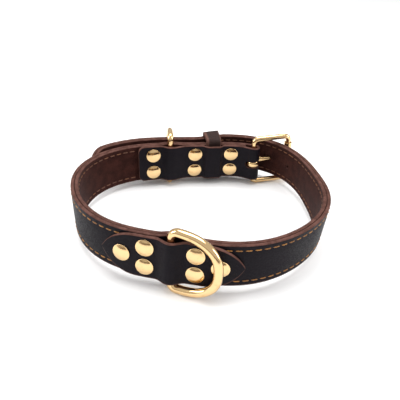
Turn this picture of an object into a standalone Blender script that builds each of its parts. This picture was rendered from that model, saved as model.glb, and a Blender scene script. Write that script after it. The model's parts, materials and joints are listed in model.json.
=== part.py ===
"""Fastened dog collar: two stitched plies of leather, riveted chape and patch, rings, keeper and buckle.

Metres, +Z up. The collar stands on the lower rims of its rings and buckle. Distances along the
strap start at the buckle's heel bar and run round by the back, the left, the front and the right.
"""
import math

import bpy
import bmesh
import numpy as np
from mathutils import Matrix, Vector

MM = 0.001

# Leather
STRAP_WIDTH = 25.0 * MM
PLY = 2.0 * MM
KEEPER_PLY = 1.7 * MM
KEEPER_WIDTH = 10.4 * MM
KEEPER_SLACK = 1.2 * MM
KEEPER_BEND = 1.0 * MM

# Clearances
FIT = 0.3 * MM
CAP_SEAT_IN = 0.5 * MM
CAP_SEAT_OUT = 0.4 * MM
TIP_STAND_OFF = 0.6 * MM

# Plan of the loop, seen from above
LOOP_RADIUS = 61.6 * MM
# Lobes of the loop: turns in one round, share of the radius, crest in degrees
LOBES = (
    (1, 0.055, 202.0),
    (2, 0.0986, 7.8),
    (3, 0.058, 58.3),
    (4, 0.019, -38.0),
    (5, 0.008, -6.6),
    (6, 0.0094, -13.0),
)
HEEL_ANGLE = math.radians(58.3)
BUCKLE_STAND_OFF = 6.6 * MM
TAIL_LENGTH = 123.0 * MM
TAIL_TIP = 11.0 * MM
TAIL_RISE = 1.4 * MM
RISE_LENGTH = 70.0 * MM

# Lean of the wall: its upper edge outwards where positive
LEAN_SWING = math.radians(5.0)
LEAN_CREST = math.radians(-20.0)
LEAN_BACK = math.radians(1.8)

# Front to back distance between the rims that it stands on, in loop radii
SEAT_SPAN = 2.1

# Rivets
CAP_DIAMETER = 9.5 * MM
CAP_FLAT = 7.6 * MM
CAP_HEIGHT = 1.3 * MM
CAP_RIM = 0.6 * MM
POST_DIAMETER = 3.0 * MM
BACK_PAIR_SPACING = 12.2 * MM
FRONT_PAIR_SPACING = 11.2 * MM

# Stops along the chape, from the heel bar
PAIR_3_AT = 17.0 * MM
KEEPER_AT = 30.0 * MM
PAIR_2_AT = 42.5 * MM
TAG_RING_AT = 59.5 * MM
PAIR_1_AT = 71.5 * MM
LEAF_END = 82.0 * MM
LEAF_CORNER = 4.0 * MM
KEEPER_SWELL = 2.8 * MM
KEEPER_SWELL_FLAT = 4.0 * MM
TAG_STRAP_SWELL = 1.5 * MM
INNER_PLY_START = 6.5 * MM

# Front patch
PATCH_AT = 232.0 * MM
PATCH_HALF = 36.5 * MM
PATCH_POINT = 18.5 * MM
PATCH_WIDTH = 24.4 * MM
PATCH_PAIR = 13.0 * MM
PATCH_END_RIVET = 25.0 * MM
PATCH_DENT = 2.0 * MM

# Rings
D_RING_WIRE = 4.9 * MM
D_RING_INNER = 28.4 * MM
D_RING_REACH = 26.0 * MM
D_RING_REST = math.radians(13.5)
TAG_RING_WIRE = 4.2 * MM
TAG_RING_INNER = 29.6 * MM
TAG_RING_REACH = 25.0 * MM
TAG_RING_SWING = math.radians(4.4)
D_RING_FILLET = 1.5 * MM
TAG_RING_FILLET = 0.8 * MM
RING_FULLNESS = 2.37

# Buckle
FRAME_WIRE = 3.6 * MM
FRAME_INNER = 30.0 * MM
FRAME_REACH = 24.4 * MM
FRAME_CORNER = 3.2 * MM
FRAME_HEADING = math.radians(33.5)
TONGUE_DIAMETER = 2.9 * MM
TONGUE_ROOT_WIDTH = 4.2 * MM
TONGUE_ROOT_THICKNESS = 2.2 * MM
TONGUE_OVERHANG = 2.6 * MM
TONGUE_CURL = math.radians(300.0)
ROLLER_WALL = 0.5 * MM
ROLLER_LENGTH = 24.0 * MM
SLOT_SLACK = 0.5 * MM
SLOT_LENGTH = 4.5 * MM

# Adjusting holes
HOLE_DIAMETER = 2.6 * MM
HOLE_PITCH = 16.5 * MM
HOLES_BEFORE = 1
HOLES_AFTER = 3
USED_HOLE_SETBACK = 2.0 * MM

# Mesh steps
FINE_STEP = 2.0 * MM
PLAIN_STEP = 3.6 * MM
WIRE_SIDES = 10
ROUND_SIDES = 12
ARC_STEP = math.radians(15.0)
ROLLER_SIDES = 16
BEND_STEPS = 5
CURL_STEPS = 15
TANGENT_REACH = 1.5 * MM
SEARCH_LENGTH = 40.0 * MM
SEARCH_STEP = 0.1 * MM
TAIL_END_TURN = math.radians(86.0)
PATCH_END_SHARE = 0.99

# Heights that follow from the sizes above
STRAP_LIFT = D_RING_WIRE + D_RING_FILLET
STRAP_MID = STRAP_LIFT + STRAP_WIDTH / 2
BACK_RIM = STRAP_LIFT - FIT - TAG_RING_WIRE
SEAT_TILT = math.atan2(BACK_RIM, SEAT_SPAN * LOOP_RADIUS)
STRAP_THICKNESS = 2 * PLY + FIT
OUTER_FLESH = FIT / 2
OUTER_GRAIN = FIT / 2 + PLY
INNER_FACE = -FIT / 2 - PLY
RIVET_STAND_OFF = max(CAP_HEIGHT, TAG_STRAP_SWELL) + 2 * FIT
CAP_RADIUS = CAP_DIAMETER / 2
HEEL_OFFSET = OUTER_FLESH - FIT - FRAME_WIRE / 2
ROLLER_BORE = FRAME_WIRE / 2 + FIT
ROLLER_RADIUS = ROLLER_BORE + ROLLER_WALL


def smooth_step(value, start, end):
    """0 before start, 1 after end, and an even S between them."""
    share = min(1.0, max(0.0, (value - start) / (end - start)))
    return share * share * (3 - 2 * share)


def hump(at, centre, flat, reach_before, reach_after):
    """1 over the flat, falling to 0 at the reach on each side in half a cosine wave."""
    away = at - centre
    reach = reach_after if away > 0 else reach_before
    beyond = max(0.0, abs(away) - flat)
    ramp = max(reach - flat, FIT)
    return 0.5 * (1 + math.cos(math.pi * min(1.0, beyond / ramp)))


class Route:
    """Middle line of the strap in plan, by distance along it, with its outward normal and lean."""

    SAMPLES = 1440

    def __init__(self):
        turn = np.linspace(0.0, 2 * math.pi, self.SAMPLES + 1)
        angle = HEEL_ANGLE + turn
        base = self.base_points(angle)
        step = np.hypot(*np.diff(base, axis=0).T)
        self.base_length = step.sum()
        run = np.concatenate([[0.0], np.cumsum(step)])
        tangent = np.gradient(base[:-1], axis=0)
        tangent[0] = base[1] - base[-2]
        tangent[-1] = base[0] - base[-3]
        tangent /= np.hypot(*tangent.T)[:, None]
        normal = np.stack([tangent[:, 1], -tangent[:, 0]], 1)
        growth = STRAP_THICKNESS + BUCKLE_STAND_OFF
        points = []
        angles = []
        for k in range(2 * self.SAMPLES):
            i = k % self.SAMPLES
            offset = growth * run[i] / self.base_length
            if k >= self.SAMPLES:
                offset += STRAP_THICKNESS + tail_stand_off(run[i])
            points.append(base[i] + normal[i] * offset)
            angles.append(HEEL_ANGLE + turn[i])
        self.points = np.array(points)
        self.angles = np.array(angles)
        steps = np.hypot(*np.diff(self.points, axis=0).T)
        self.distance = np.concatenate([[0.0], np.cumsum(steps)])
        self.turn_length = self.distance[self.SAMPLES]
        self.end = self.turn_length + TAIL_LENGTH

    @staticmethod
    def base_points(angle):
        radius = np.full_like(angle, LOOP_RADIUS)
        for turns, share, crest in LOBES:
            radius = radius + LOOP_RADIUS * share * np.cos(turns * (angle - math.radians(crest)))
        return np.stack([radius * np.cos(angle), radius * np.sin(angle)], 1)

    def plan(self, at):
        x = np.interp(at, self.distance, self.points[:, 0])
        y = np.interp(at, self.distance, self.points[:, 1])
        return np.array([x, y])

    def tangent(self, at):
        ahead = self.plan(at + TANGENT_REACH)
        behind = self.plan(max(0.0, at - TANGENT_REACH))
        along = ahead - behind
        return along / np.hypot(*along)

    def normal(self, at):
        tx, ty = self.tangent(at)
        return np.array([ty, -tx])

    def lean(self, at):
        i = int(np.searchsorted(self.distance, at))
        angle = self.angles[min(i, len(self.angles) - 1)]
        return LEAN_SWING * math.cos(2 * (angle - LEAN_CREST)) - LEAN_BACK * math.sin(angle)

    def rise(self, at):
        return TAIL_RISE * smooth_step(at, self.turn_length - RISE_LENGTH, self.turn_length)

    def point(self, at, offset, height):
        """Place by distance along, offset outwards from the middle line and height over the floor."""
        shear = (height - STRAP_MID) * math.tan(self.lean(at))
        xy = self.plan(at) + self.normal(at) * (offset + shear)
        return Vector((xy[0], xy[1], height))

    def frame_at(self, at):
        """Wall's own directions: along the strap, up the wall and straight out of it."""
        lean = self.lean(at)
        nx, ny = self.normal(at)
        out = Vector((nx * math.cos(lean), ny * math.cos(lean), -math.sin(lean)))
        up = Vector((nx * math.sin(lean), ny * math.sin(lean), math.cos(lean)))
        tx, ty = self.tangent(at)
        return Vector((tx, ty, 0.0)), up, out


def tail_stand_off(at):
    """Gap between the chape's outer face and the tail, by distance from the heel bar."""
    to_rivets = smooth_step(at, PAIR_3_AT, PAIR_2_AT)
    to_tip = smooth_step(at, PAIR_1_AT + CAP_RADIUS, TAIL_LENGTH)
    gap = BUCKLE_STAND_OFF + (RIVET_STAND_OFF - BUCKLE_STAND_OFF) * to_rivets
    return gap + (TIP_STAND_OFF - RIVET_STAND_OFF) * to_tip


def strap_shift(at):
    """How far the strap swells outwards over the tag ring's bar or dents in behind the lead ring's."""
    tag_before = TAG_RING_AT - PAIR_2_AT - CAP_RADIUS
    tag_after = PAIR_1_AT - TAG_RING_AT - CAP_RADIUS
    swell = TAG_STRAP_SWELL * hump(at, TAG_RING_AT, FIT, tag_before, tag_after)
    reach = PATCH_PAIR - CAP_RADIUS
    return swell - PATCH_DENT * hump(at, PATCH_AT, FIT, reach, reach)


def leaf_flesh(at):
    """Offset of the folded-back leaf's inner side, which lies over bar, keeper and heel bar."""
    tag_before = TAG_RING_AT - PAIR_2_AT - CAP_RADIUS
    tag_after = PAIR_1_AT - TAG_RING_AT - CAP_RADIUS
    keeper_before = KEEPER_AT - PAIR_3_AT - CAP_RADIUS
    keeper_after = PAIR_2_AT - KEEPER_AT - CAP_RADIUS
    heel_room = INNER_FACE - FIT - (HEEL_OFFSET - FRAME_WIRE / 2 - FIT)
    room = (TAG_RING_WIRE + FIT) * hump(at, TAG_RING_AT, FIT, tag_before, tag_after)
    room += KEEPER_SWELL * hump(at, KEEPER_AT, KEEPER_SWELL_FLAT, keeper_before, keeper_after)
    room += heel_room * hump(at, 0.0, FIT, PAIR_3_AT - CAP_RADIUS, PAIR_3_AT - CAP_RADIUS)
    return INNER_FACE + strap_shift(at) - FIT - room


def patch_flesh(at):
    """Offset of the front patch's inner side, which lies over the lead ring's bar."""
    reach = PATCH_PAIR - CAP_RADIUS
    return OUTER_GRAIN + strap_shift(at) + FIT + (D_RING_WIRE + FIT) * hump(at, PATCH_AT, FIT, reach, reach)


def stations(start, end, fine_zones):
    """Distances from start to end, closer together inside the fine zones."""
    row = [start]
    while row[-1] < end:
        at = row[-1]
        fine = any(low <= at <= high for low, high in fine_zones)
        row.append(at + (FINE_STEP if fine else PLAIN_STEP))
    row[-1] = end
    if row[-1] - row[-2] < FINE_STEP / 2:
        del row[-2]
    return row


def round_end(end, length, steps):
    """Stations and half-width shares of an elliptic end, from its root to just short of its point."""
    rows = []
    for k in range(1, steps + 1):
        swing = TAIL_END_TURN * k / steps
        rows.append((end - length * (1 - math.sin(swing)), math.cos(swing)))
    return rows


def section_mesh(name, sections, closed):
    """Skin a row of four-cornered sections into one solid, closed on itself or capped."""
    mesh = bpy.data.meshes.new(name)
    build = bmesh.new()
    rings = [[build.verts.new(corner) for corner in section] for section in sections]
    pairs = list(zip(rings, rings[1:]))
    if closed:
        pairs.append((rings[-1], rings[0]))
    for first, second in pairs:
        count = len(first)
        for k in range(count):
            build.faces.new((first[k], first[(k + 1) % count], second[(k + 1) % count], second[k]))
    if not closed:
        build.faces.new(list(reversed(rings[0])))
        build.faces.new(rings[-1])
    bmesh.ops.recalc_face_normals(build, faces=build.faces)
    build.to_mesh(mesh)
    build.free()
    return mesh


def add_object(name, mesh, material, smooth_angle=None):
    item = bpy.data.objects.new(name, mesh)
    bpy.context.scene.collection.objects.link(item)
    mesh.materials.append(material)
    if smooth_angle is not None:
        mesh.shade_smooth()
        mesh.set_sharp_from_angle(angle=smooth_angle)
    return item


def add_material(name, colour, roughness, metallic):
    material = bpy.data.materials.new(name)
    material.use_nodes = True
    shader = material.node_tree.nodes["Principled BSDF"]
    shader.inputs["Base Color"].default_value = (*colour, 1.0)
    shader.inputs["Roughness"].default_value = roughness
    shader.inputs["Metallic"].default_value = metallic
    return material


def wall_section(route, at, inner, outer, share=1.0, width=STRAP_WIDTH, rise=0.0):
    """Four corners across the strap: inner face low and high, outer face high and low."""
    middle = STRAP_MID + rise
    low = middle - width / 2 * share
    high = middle + width / 2 * share
    return [
        route.point(at, inner, low),
        route.point(at, inner, high),
        route.point(at, outer, high),
        route.point(at, outer, low),
    ]


def leaf_share(at):
    """Half-width share of the leaf near its square end with rounded corners."""
    into = max(0.0, at - (LEAF_END - LEAF_CORNER))
    drop = LEAF_CORNER - math.sqrt(max(0.0, LEAF_CORNER ** 2 - into ** 2))
    return 1 - drop / (STRAP_WIDTH / 2)


def leaf_stations():
    """Distances along the leaf from its end back to the heel bar."""
    row = [LEAF_END - LEAF_CORNER * (1 - math.sin(math.radians(a))) for a in (78.0, 52.0, 26.0)]
    plain = stations(0.0, LEAF_END - LEAF_CORNER, [(0.0, LEAF_END)])
    return row + list(reversed(plain))[:-1]


def outer_ply(route, material):
    """Leaf, fold round the heel bar and the outer strap with its tail, in one piece of leather."""
    sections = []
    for at in leaf_stations():
        flesh = leaf_flesh(at)
        sections.append(wall_section(route, at, flesh, flesh - PLY, leaf_share(at)))
    heel = route.plan(0.0) + route.normal(0.0) * HEEL_OFFSET
    tangent = route.tangent(0.0)
    normal = route.normal(0.0)
    shear = math.tan(route.lean(0.0))
    radius = FRAME_WIRE / 2 + FIT
    steps = round(math.pi / ARC_STEP)
    for k in range(steps + 1):
        swing = -0.5 * math.pi + math.pi * k / steps
        ray = -tangent * math.cos(swing) + normal * math.sin(swing)
        section = []
        for reach, high in ((radius, False), (radius, True), (radius + PLY, True), (radius + PLY, False)):
            height = STRAP_LIFT + (STRAP_WIDTH if high else 0.0)
            xy = heel + ray * reach + normal * (height - STRAP_MID) * shear
            section.append(Vector((xy[0], xy[1], height)))
        sections.append(section)
    zones = [(0.0, LEAF_END), (PATCH_AT - PATCH_HALF, PATCH_AT + PATCH_HALF)]
    for at in stations(FINE_STEP, route.end - TAIL_TIP, zones):
        shift = strap_shift(at)
        rise = route.rise(at)
        sections.append(wall_section(route, at, OUTER_FLESH + shift, OUTER_GRAIN + shift, rise=rise))
    for at, share in round_end(route.end, TAIL_TIP, 6):
        rise = route.rise(at)
        sections.append(wall_section(route, at, OUTER_FLESH, OUTER_GRAIN, share, rise=rise))
    return add_object("outer_ply", section_mesh("outer_ply", sections, False), material)


def inner_ply(route, material):
    """Lining strap from just behind the fold to the tail's tip."""
    sections = []
    zones = [(0.0, LEAF_END), (PATCH_AT - PATCH_HALF, PATCH_AT + PATCH_HALF)]
    for at in stations(INNER_PLY_START, route.end - TAIL_TIP, zones):
        shift = strap_shift(at)
        rise = route.rise(at)
        sections.append(wall_section(route, at, INNER_FACE + shift, -FIT / 2 + shift, rise=rise))
    for at, share in round_end(route.end, TAIL_TIP, 6):
        rise = route.rise(at)
        sections.append(wall_section(route, at, INNER_FACE, -FIT / 2, share, rise=rise))
    return add_object("inner_ply", section_mesh("inner_ply", sections, False), material)


def pointed_end(end, length, steps):
    """Stations and half-width shares of an end between two arcs, from its root to near its point."""
    half = PATCH_WIDTH / 2
    radius = (length ** 2 + half ** 2) / (2 * half)
    rows = []
    for k in range(1, steps + 1):
        into = length * math.sin(0.5 * math.pi * k / steps) * PATCH_END_SHARE
        rows.append((end - length + into, (math.sqrt(radius ** 2 - into ** 2) - radius + half) / half))
    return rows


def front_patch(route, material):
    """Single ply with two pointed ends, lifted over the lead ring's bar."""
    sections = []
    left = PATCH_AT - PATCH_HALF
    right = PATCH_AT + PATCH_HALF
    point = pointed_end(right, PATCH_POINT, 7)
    rows = [(2 * PATCH_AT - at, share) for at, share in reversed(point)]
    rows += [(at, 1.0) for at in stations(left + PATCH_POINT, right - PATCH_POINT, [(left, right)])]
    rows += point
    for at, share in rows:
        flesh = patch_flesh(at)
        sections.append(wall_section(route, at, flesh, flesh + PLY, share, PATCH_WIDTH))
    return add_object("front_patch", section_mesh("front_patch", sections, False), material)


def keeper(route, material):
    """Leather band round strap and tail, its inner run between the strap and the leaf."""
    low = STRAP_LIFT - FIT
    high = STRAP_LIFT + TAIL_RISE + STRAP_WIDTH + FIT + KEEPER_SLACK
    before = KEEPER_AT - KEEPER_WIDTH / 2
    after = KEEPER_AT + KEEPER_WIDTH / 2
    corner = KEEPER_PLY

    def inner_run(at):
        return INNER_FACE + strap_shift(at) - FIT

    def outer_run(at):
        return OUTER_GRAIN + tail_stand_off(at) + STRAP_THICKNESS + FIT

    def ring_point(at, side, grow):
        """Offset and height of one point of the band's outline, three to each of its four bends."""
        bend, step = divmod(side, 3)
        radius = KEEPER_BEND if bend in (2, 3) else 0.0
        centre_offset = inner_run(at) + radius if bend in (0, 3) else outer_run(at) - radius
        centre_height = high - radius if bend in (2, 3) else low
        turn = 0.5 * math.pi * (bend + step / 2) - math.pi
        reach = grow + radius
        return centre_offset + reach * math.cos(turn), centre_height + reach * math.sin(turn)

    sections = []
    for side in range(12):
        section = []
        for at, grow in ((before, FIT * 0.1), (after, FIT * 0.1), (after, corner), (before, corner)):
            offset, height = ring_point(at, side, grow)
            section.append(route.point(at, offset, height))
        sections.append(section)
    return add_object("keeper", section_mesh("keeper", sections, True), material)


def tube_mesh(name, path, closed, sizes):
    """Round or oval wire along a path of (point, side direction, up direction)."""
    mesh = bpy.data.meshes.new(name)
    build = bmesh.new()
    rings = []
    for k, (point, side, up) in enumerate(path):
        across, tall = sizes[k]
        ring = []
        for i in range(WIRE_SIDES):
            turn = 2 * math.pi * (i + 0.5) / WIRE_SIDES
            ring.append(build.verts.new(point + side * across * math.cos(turn) + up * tall * math.sin(turn)))
        rings.append(ring)
    pairs = list(zip(rings, rings[1:]))
    if closed:
        pairs.append((rings[-1], rings[0]))
    for first, second in pairs:
        for k in range(WIRE_SIDES):
            nxt = (k + 1) % WIRE_SIDES
            build.faces.new((first[k], first[nxt], second[nxt], second[k]))
    if not closed:
        build.faces.new(list(reversed(rings[0])))
        build.faces.new(rings[-1])
    bmesh.ops.recalc_face_normals(build, faces=build.faces)
    build.to_mesh(mesh)
    build.free()
    return mesh


def wire_mesh(name, outline, origin, along, up, wire):
    """Closed round wire along a flat outline."""
    path = flat_path(outline, origin, along, up)
    return tube_mesh(name, path, True, [(wire / 2, wire / 2)] * len(path))


def flat_path(outline, origin, along, up):
    """Turn a flat closed outline of (reach, height) pairs into a tube path in its own plane."""
    across = along.cross(up)
    path = []
    count = len(outline)
    for k, (reach, height) in enumerate(outline):
        ahead = outline[(k + 1) % count]
        behind = outline[k - 1]
        run = along * (ahead[0] - behind[0]) + up * (ahead[1] - behind[1])
        side = run.normalized().cross(across)
        path.append((origin + along * reach + up * height, side, across))
    return path


def d_outline(inner, reach, wire, fillet):
    """Middle line of a D: a straight bar at zero reach, two bent corners and a full bow."""
    half = inner / 2 + wire / 2
    corner = fillet + wire / 2
    outline = [(0.0, share * (half - corner)) for share in (-1.0, -0.5, 0.0, 0.5, 1.0)]
    for k in (1, 2, 3):
        turn = math.pi / 8 * k
        outline.append((corner * (1 - math.cos(turn)), half - corner + corner * math.sin(turn)))
    steps = 22
    bow = []
    for k in range(steps + 1):
        turn = 0.5 * math.pi * (1 - 2 * k / steps)
        c, s = math.cos(turn), math.sin(turn)
        scale = (abs(c) ** RING_FULLNESS + abs(s) ** RING_FULLNESS) ** (-1 / RING_FULLNESS)
        bow.append((corner + (reach - corner) * c * scale, half * s * scale))
    outline += bow
    for k in (3, 2, 1):
        turn = math.pi / 8 * k
        outline.append((corner * (1 - math.cos(turn)), -(half - corner + corner * math.sin(turn))))
    return outline


def settle(mesh, origin):
    """Move a mesh's points so that its object's origin is the given place."""
    mesh.transform(Matrix.Translation(-origin))
    return origin


def lead_ring(route, material):
    """Large ring whose bar turns between the patch and the strap, at rest against the patch."""
    offset = OUTER_GRAIN + strap_shift(PATCH_AT) + FIT + D_RING_WIRE / 2
    along, up, out = route.frame_at(PATCH_AT)
    origin = route.point(PATCH_AT, offset, STRAP_MID)
    origin += up * (D_RING_WIRE + D_RING_INNER / 2 - STRAP_MID) / up.z
    reach = along * math.cos(D_RING_REST) + out * math.sin(D_RING_REST)
    outline = d_outline(D_RING_INNER, D_RING_REACH, D_RING_WIRE, D_RING_FILLET)
    mesh = wire_mesh("d_ring", outline, origin, reach, up, D_RING_WIRE)
    ring = add_object("d_ring", mesh, material, math.radians(60.0))
    ring.location = settle(mesh, origin)
    return ring


def tag_ring(route, material):
    """Smaller ring whose bar lies between the leaf and the strap, its bow round strap and tail."""
    offset = INNER_FACE + strap_shift(TAG_RING_AT) - FIT - TAG_RING_WIRE / 2
    along, up, out = route.frame_at(TAG_RING_AT)
    origin = route.point(TAG_RING_AT, offset, STRAP_MID)
    origin += up * (BACK_RIM + TAG_RING_WIRE + TAG_RING_INNER / 2 - STRAP_MID) / up.z
    reach = out * math.cos(TAG_RING_SWING) - along * math.sin(TAG_RING_SWING)
    outline = d_outline(TAG_RING_INNER, TAG_RING_REACH, TAG_RING_WIRE, TAG_RING_FILLET)
    mesh = wire_mesh("tag_ring", outline, origin, reach, up, TAG_RING_WIRE)
    ring = add_object("tag_ring", mesh, material, math.radians(60.0))
    ring.location = settle(mesh, origin)
    return ring


def buckle_axes(route):
    """Heel bar's middle, the frame's directions towards its front bar, out of its plane and up."""
    heel = route.point(0.0, HEEL_OFFSET, STRAP_MID)
    tangent, up, wall_out = route.frame_at(0.0)
    along = wall_out * math.sin(FRAME_HEADING) - tangent * math.cos(FRAME_HEADING)
    out = wall_out * math.cos(FRAME_HEADING) + tangent * math.sin(FRAME_HEADING)
    return heel, along, out, up


def frame_middle(route):
    """Middle of the frame's heel bar, which stands lower or higher than the strap's own middle."""
    heel, along, out, up = buckle_axes(route)
    middle = BACK_RIM + FRAME_WIRE + FRAME_INNER / 2
    return heel + up * (middle - STRAP_MID) / up.z


def buckle_frame(route, material):
    """Rounded oblong frame; the heel bar runs inside the fold of the outer ply."""
    heel, along, out, up = buckle_axes(route)
    half = (FRAME_INNER + FRAME_WIRE) / 2
    near = FRAME_CORNER
    far = FRAME_REACH - FRAME_CORNER
    low = FRAME_CORNER - half
    high = half - FRAME_CORNER
    outline = []
    for quarter, (reach, height) in enumerate(((near, low), (far, low), (far, high), (near, high))):
        for k in range(BEND_STEPS + 1):
            turn = 0.5 * math.pi * (quarter + k / BEND_STEPS) - math.pi
            outline.append((reach + FRAME_CORNER * math.cos(turn), height + FRAME_CORNER * math.sin(turn)))
    mesh = wire_mesh("buckle_frame", outline, frame_middle(route), along, up, FRAME_WIRE)
    frame = add_object("buckle_frame", mesh, material, math.radians(60.0))
    frame.location = settle(mesh, heel)
    return frame


def buckle_roller(route, material):
    """Loose tube on the frame's front bar, over which the strap is pulled tight."""
    heel, along, out, up = buckle_axes(route)
    centre = frame_middle(route) + along * FRAME_REACH
    half = ROLLER_LENGTH / 2
    build = bmesh.new()
    rings = []
    profile = ((-half, ROLLER_BORE), (-half, ROLLER_RADIUS), (half, ROLLER_RADIUS), (half, ROLLER_BORE))
    for height, radius in profile:
        ring = []
        for k in range(ROLLER_SIDES):
            turn = 2 * math.pi * k / ROLLER_SIDES
            side = along * math.cos(turn) + out * math.sin(turn)
            ring.append(build.verts.new(centre + up * height + side * radius))
        rings.append(ring)
    for first, second in zip(rings, rings[1:] + rings[:1]):
        for k in range(ROLLER_SIDES):
            nxt = (k + 1) % ROLLER_SIDES
            build.faces.new((first[k], first[nxt], second[nxt], second[k]))
    bmesh.ops.recalc_face_normals(build, faces=build.faces)
    mesh = bpy.data.meshes.new("buckle_roller")
    build.to_mesh(mesh)
    build.free()
    roller = add_object("buckle_roller", mesh, material, math.radians(35.0))
    roller.location = settle(mesh, centre)
    return roller


def tongue_line(route):
    """Start and end of the tongue's shaft, which lies along the frame, outside its front bar's roller."""
    heel, along, out, up = buckle_axes(route)
    start = FRAME_WIRE / 2 + FIT + TONGUE_ROOT_THICKNESS / 2
    end = ROLLER_RADIUS + FIT + TONGUE_DIAMETER / 2
    return heel + out * start, heel + along * (FRAME_REACH + TONGUE_OVERHANG) + out * end


def buckle_tongue(route, material):
    """Tongue with its root curled round the heel bar and its tip over the roller."""
    heel, along, out, up = buckle_axes(route)
    start, end = tongue_line(route)
    radius = (start - heel).length
    root = (TONGUE_ROOT_THICKNESS / 2, TONGUE_ROOT_WIDTH / 2)
    path = []
    sizes = []
    for k in range(CURL_STEPS + 1):
        turn = TONGUE_CURL * (1 - k / CURL_STEPS)
        ray = out * math.cos(turn) - along * math.sin(turn)
        path.append((heel + ray * radius, ray, up))
        sizes.append(root)
    run = end - start
    side = run.normalized().cross(up) * -1
    shaft = TONGUE_DIAMETER / 2
    for share, across, tall in (
        (0.16, root[0], root[1]),
        (0.3, shaft, shaft * 1.15),
        (0.6, shaft, shaft),
        (0.97, shaft * 0.9, shaft * 0.9),
        (1.0, shaft * 0.45, shaft * 0.45),
    ):
        path.append((start + run * share, side, up))
        sizes.append((across, tall))
    mesh = tube_mesh("buckle_tongue", path, False, sizes)
    tongue = add_object("buckle_tongue", mesh, material, math.radians(60.0))
    tongue.location = settle(mesh, heel)
    return tongue


def turned_mesh(name, profile):
    """Solid of revolution round +Z from (height, radius) rows whose first and last are on the axis."""
    mesh = bpy.data.meshes.new(name)
    build = bmesh.new()
    rings = []
    for height, radius in profile[1:-1]:
        ring = []
        for k in range(ROUND_SIDES):
            turn = 2 * math.pi * k / ROUND_SIDES
            ring.append(build.verts.new((radius * math.cos(turn), radius * math.sin(turn), height)))
        rings.append(ring)
    first = build.verts.new((0.0, 0.0, profile[0][0]))
    last = build.verts.new((0.0, 0.0, profile[-1][0]))
    for k in range(ROUND_SIDES):
        nxt = (k + 1) % ROUND_SIDES
        build.faces.new((first, rings[0][nxt], rings[0][k]))
        build.faces.new((last, rings[-1][k], rings[-1][nxt]))
        for low, high in zip(rings, rings[1:]):
            build.faces.new((low[k], low[nxt], high[nxt], high[k]))
    bmesh.ops.recalc_face_normals(build, faces=build.faces)
    build.to_mesh(mesh)
    build.free()
    return mesh


def rivet_mesh(name, grip):
    """Two flat caps with eased rims on one post; the inner cap's seat is at zero height."""
    rim = CAP_HEIGHT - CAP_RIM
    post = POST_DIAMETER / 2
    profile = [
        (-CAP_HEIGHT, 0.0),
        (-CAP_HEIGHT, CAP_FLAT / 2),
        (-rim, CAP_RADIUS),
        (0.0, CAP_RADIUS),
        (0.0, post),
        (grip, post),
        (grip, CAP_RADIUS),
        (grip + rim, CAP_RADIUS),
        (grip + CAP_HEIGHT, CAP_FLAT / 2),
        (grip + CAP_HEIGHT, 0.0),
    ]
    return turned_mesh(name, profile)


def turn_to(direction):
    """Rotation that brings +Z to the given direction."""
    return direction.to_track_quat("Z", "Y").to_matrix().to_4x4()


def rivet_line(route, at, height, inner, outer):
    """Inner seat of a rivet, its direction square to the wall and the length between its caps."""
    seat = route.point(at, inner, height)
    out = route.frame_at(at)[2]
    return seat, out, (route.point(at, outer, height) - seat).dot(out)


def add_rivet(route, name, at, height, inner, outer, material):
    """Rivet through the wall with its caps seated on the inner and outer offsets."""
    seat, out, grip = rivet_line(route, at, height, inner, outer)
    rivet = add_object(name, rivet_mesh(name, grip), material, math.radians(35.0))
    rivet.matrix_world = Matrix.Translation(seat) @ turn_to(out)
    return rivet


def rivet_rows():
    """Name, distance, height, inner and outer seat of each rivet."""
    rows = []
    back = ((PAIR_1_AT, 1), (PAIR_2_AT, 3), (PAIR_3_AT, 5))
    for at, number in back:
        for k, side in enumerate((1, -1)):
            inner = leaf_flesh(at) - PLY - CAP_SEAT_IN
            height = STRAP_MID + side * BACK_PAIR_SPACING / 2
            rows.append(("rivet_back_%d" % (number + k), at, height, inner, OUTER_GRAIN + CAP_SEAT_OUT))
    front = (
        (PATCH_AT - PATCH_END_RIVET, 0.0),
        (PATCH_AT - PATCH_PAIR, 0.5),
        (PATCH_AT - PATCH_PAIR, -0.5),
        (PATCH_AT + PATCH_PAIR, 0.5),
        (PATCH_AT + PATCH_PAIR, -0.5),
        (PATCH_AT + PATCH_END_RIVET, 0.0),
    )
    for number, (at, side) in enumerate(front, 1):
        inner = INNER_FACE + strap_shift(at) - CAP_SEAT_IN
        height = STRAP_MID + side * FRONT_PAIR_SPACING
        rows.append(("rivet_front_%d" % number, at, height, inner, patch_flesh(at) + PLY + CAP_SEAT_OUT))
    return rows


def cylinder_between(name, start, end, radius):
    """Cutter along a line, drawn as a wire guide."""
    run = end - start
    profile = [(0.0, 0.0), (0.0, radius), (run.length, radius), (run.length, 0.0)]
    item = bpy.data.objects.new(name, turned_mesh(name, profile))
    bpy.context.scene.collection.objects.link(item)
    item.matrix_world = Matrix.Translation(start) @ turn_to(run.normalized())
    hide_guide(item)
    return item


def hide_guide(item):
    item.hide_render = True
    item.display_type = "WIRE"


def join_guides(name, parts):
    """One cutter object from many that don't touch each other."""
    build = bmesh.new()
    for part in parts:
        mesh = part.data.copy()
        mesh.transform(part.matrix_world)
        build.from_mesh(mesh)
    whole = bpy.data.meshes.new(name)
    build.to_mesh(whole)
    build.free()
    for part in parts:
        bpy.data.objects.remove(part)
    item = bpy.data.objects.new(name, whole)
    bpy.context.scene.collection.objects.link(item)
    hide_guide(item)
    return item


def post_holes(route, rows, prefix):
    """Cutters for the posts of the rivets whose names start with the prefix."""
    parts = []
    for name, at, height, inner, outer in rows:
        if name.startswith(prefix):
            seat, out, grip = rivet_line(route, at, height, inner, outer)
            radius = POST_DIAMETER / 2 + FIT
            parts.append(cylinder_between("cut_" + name, seat, seat + out * grip, radius))
    return join_guides("cut_posts_" + prefix, parts)


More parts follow.
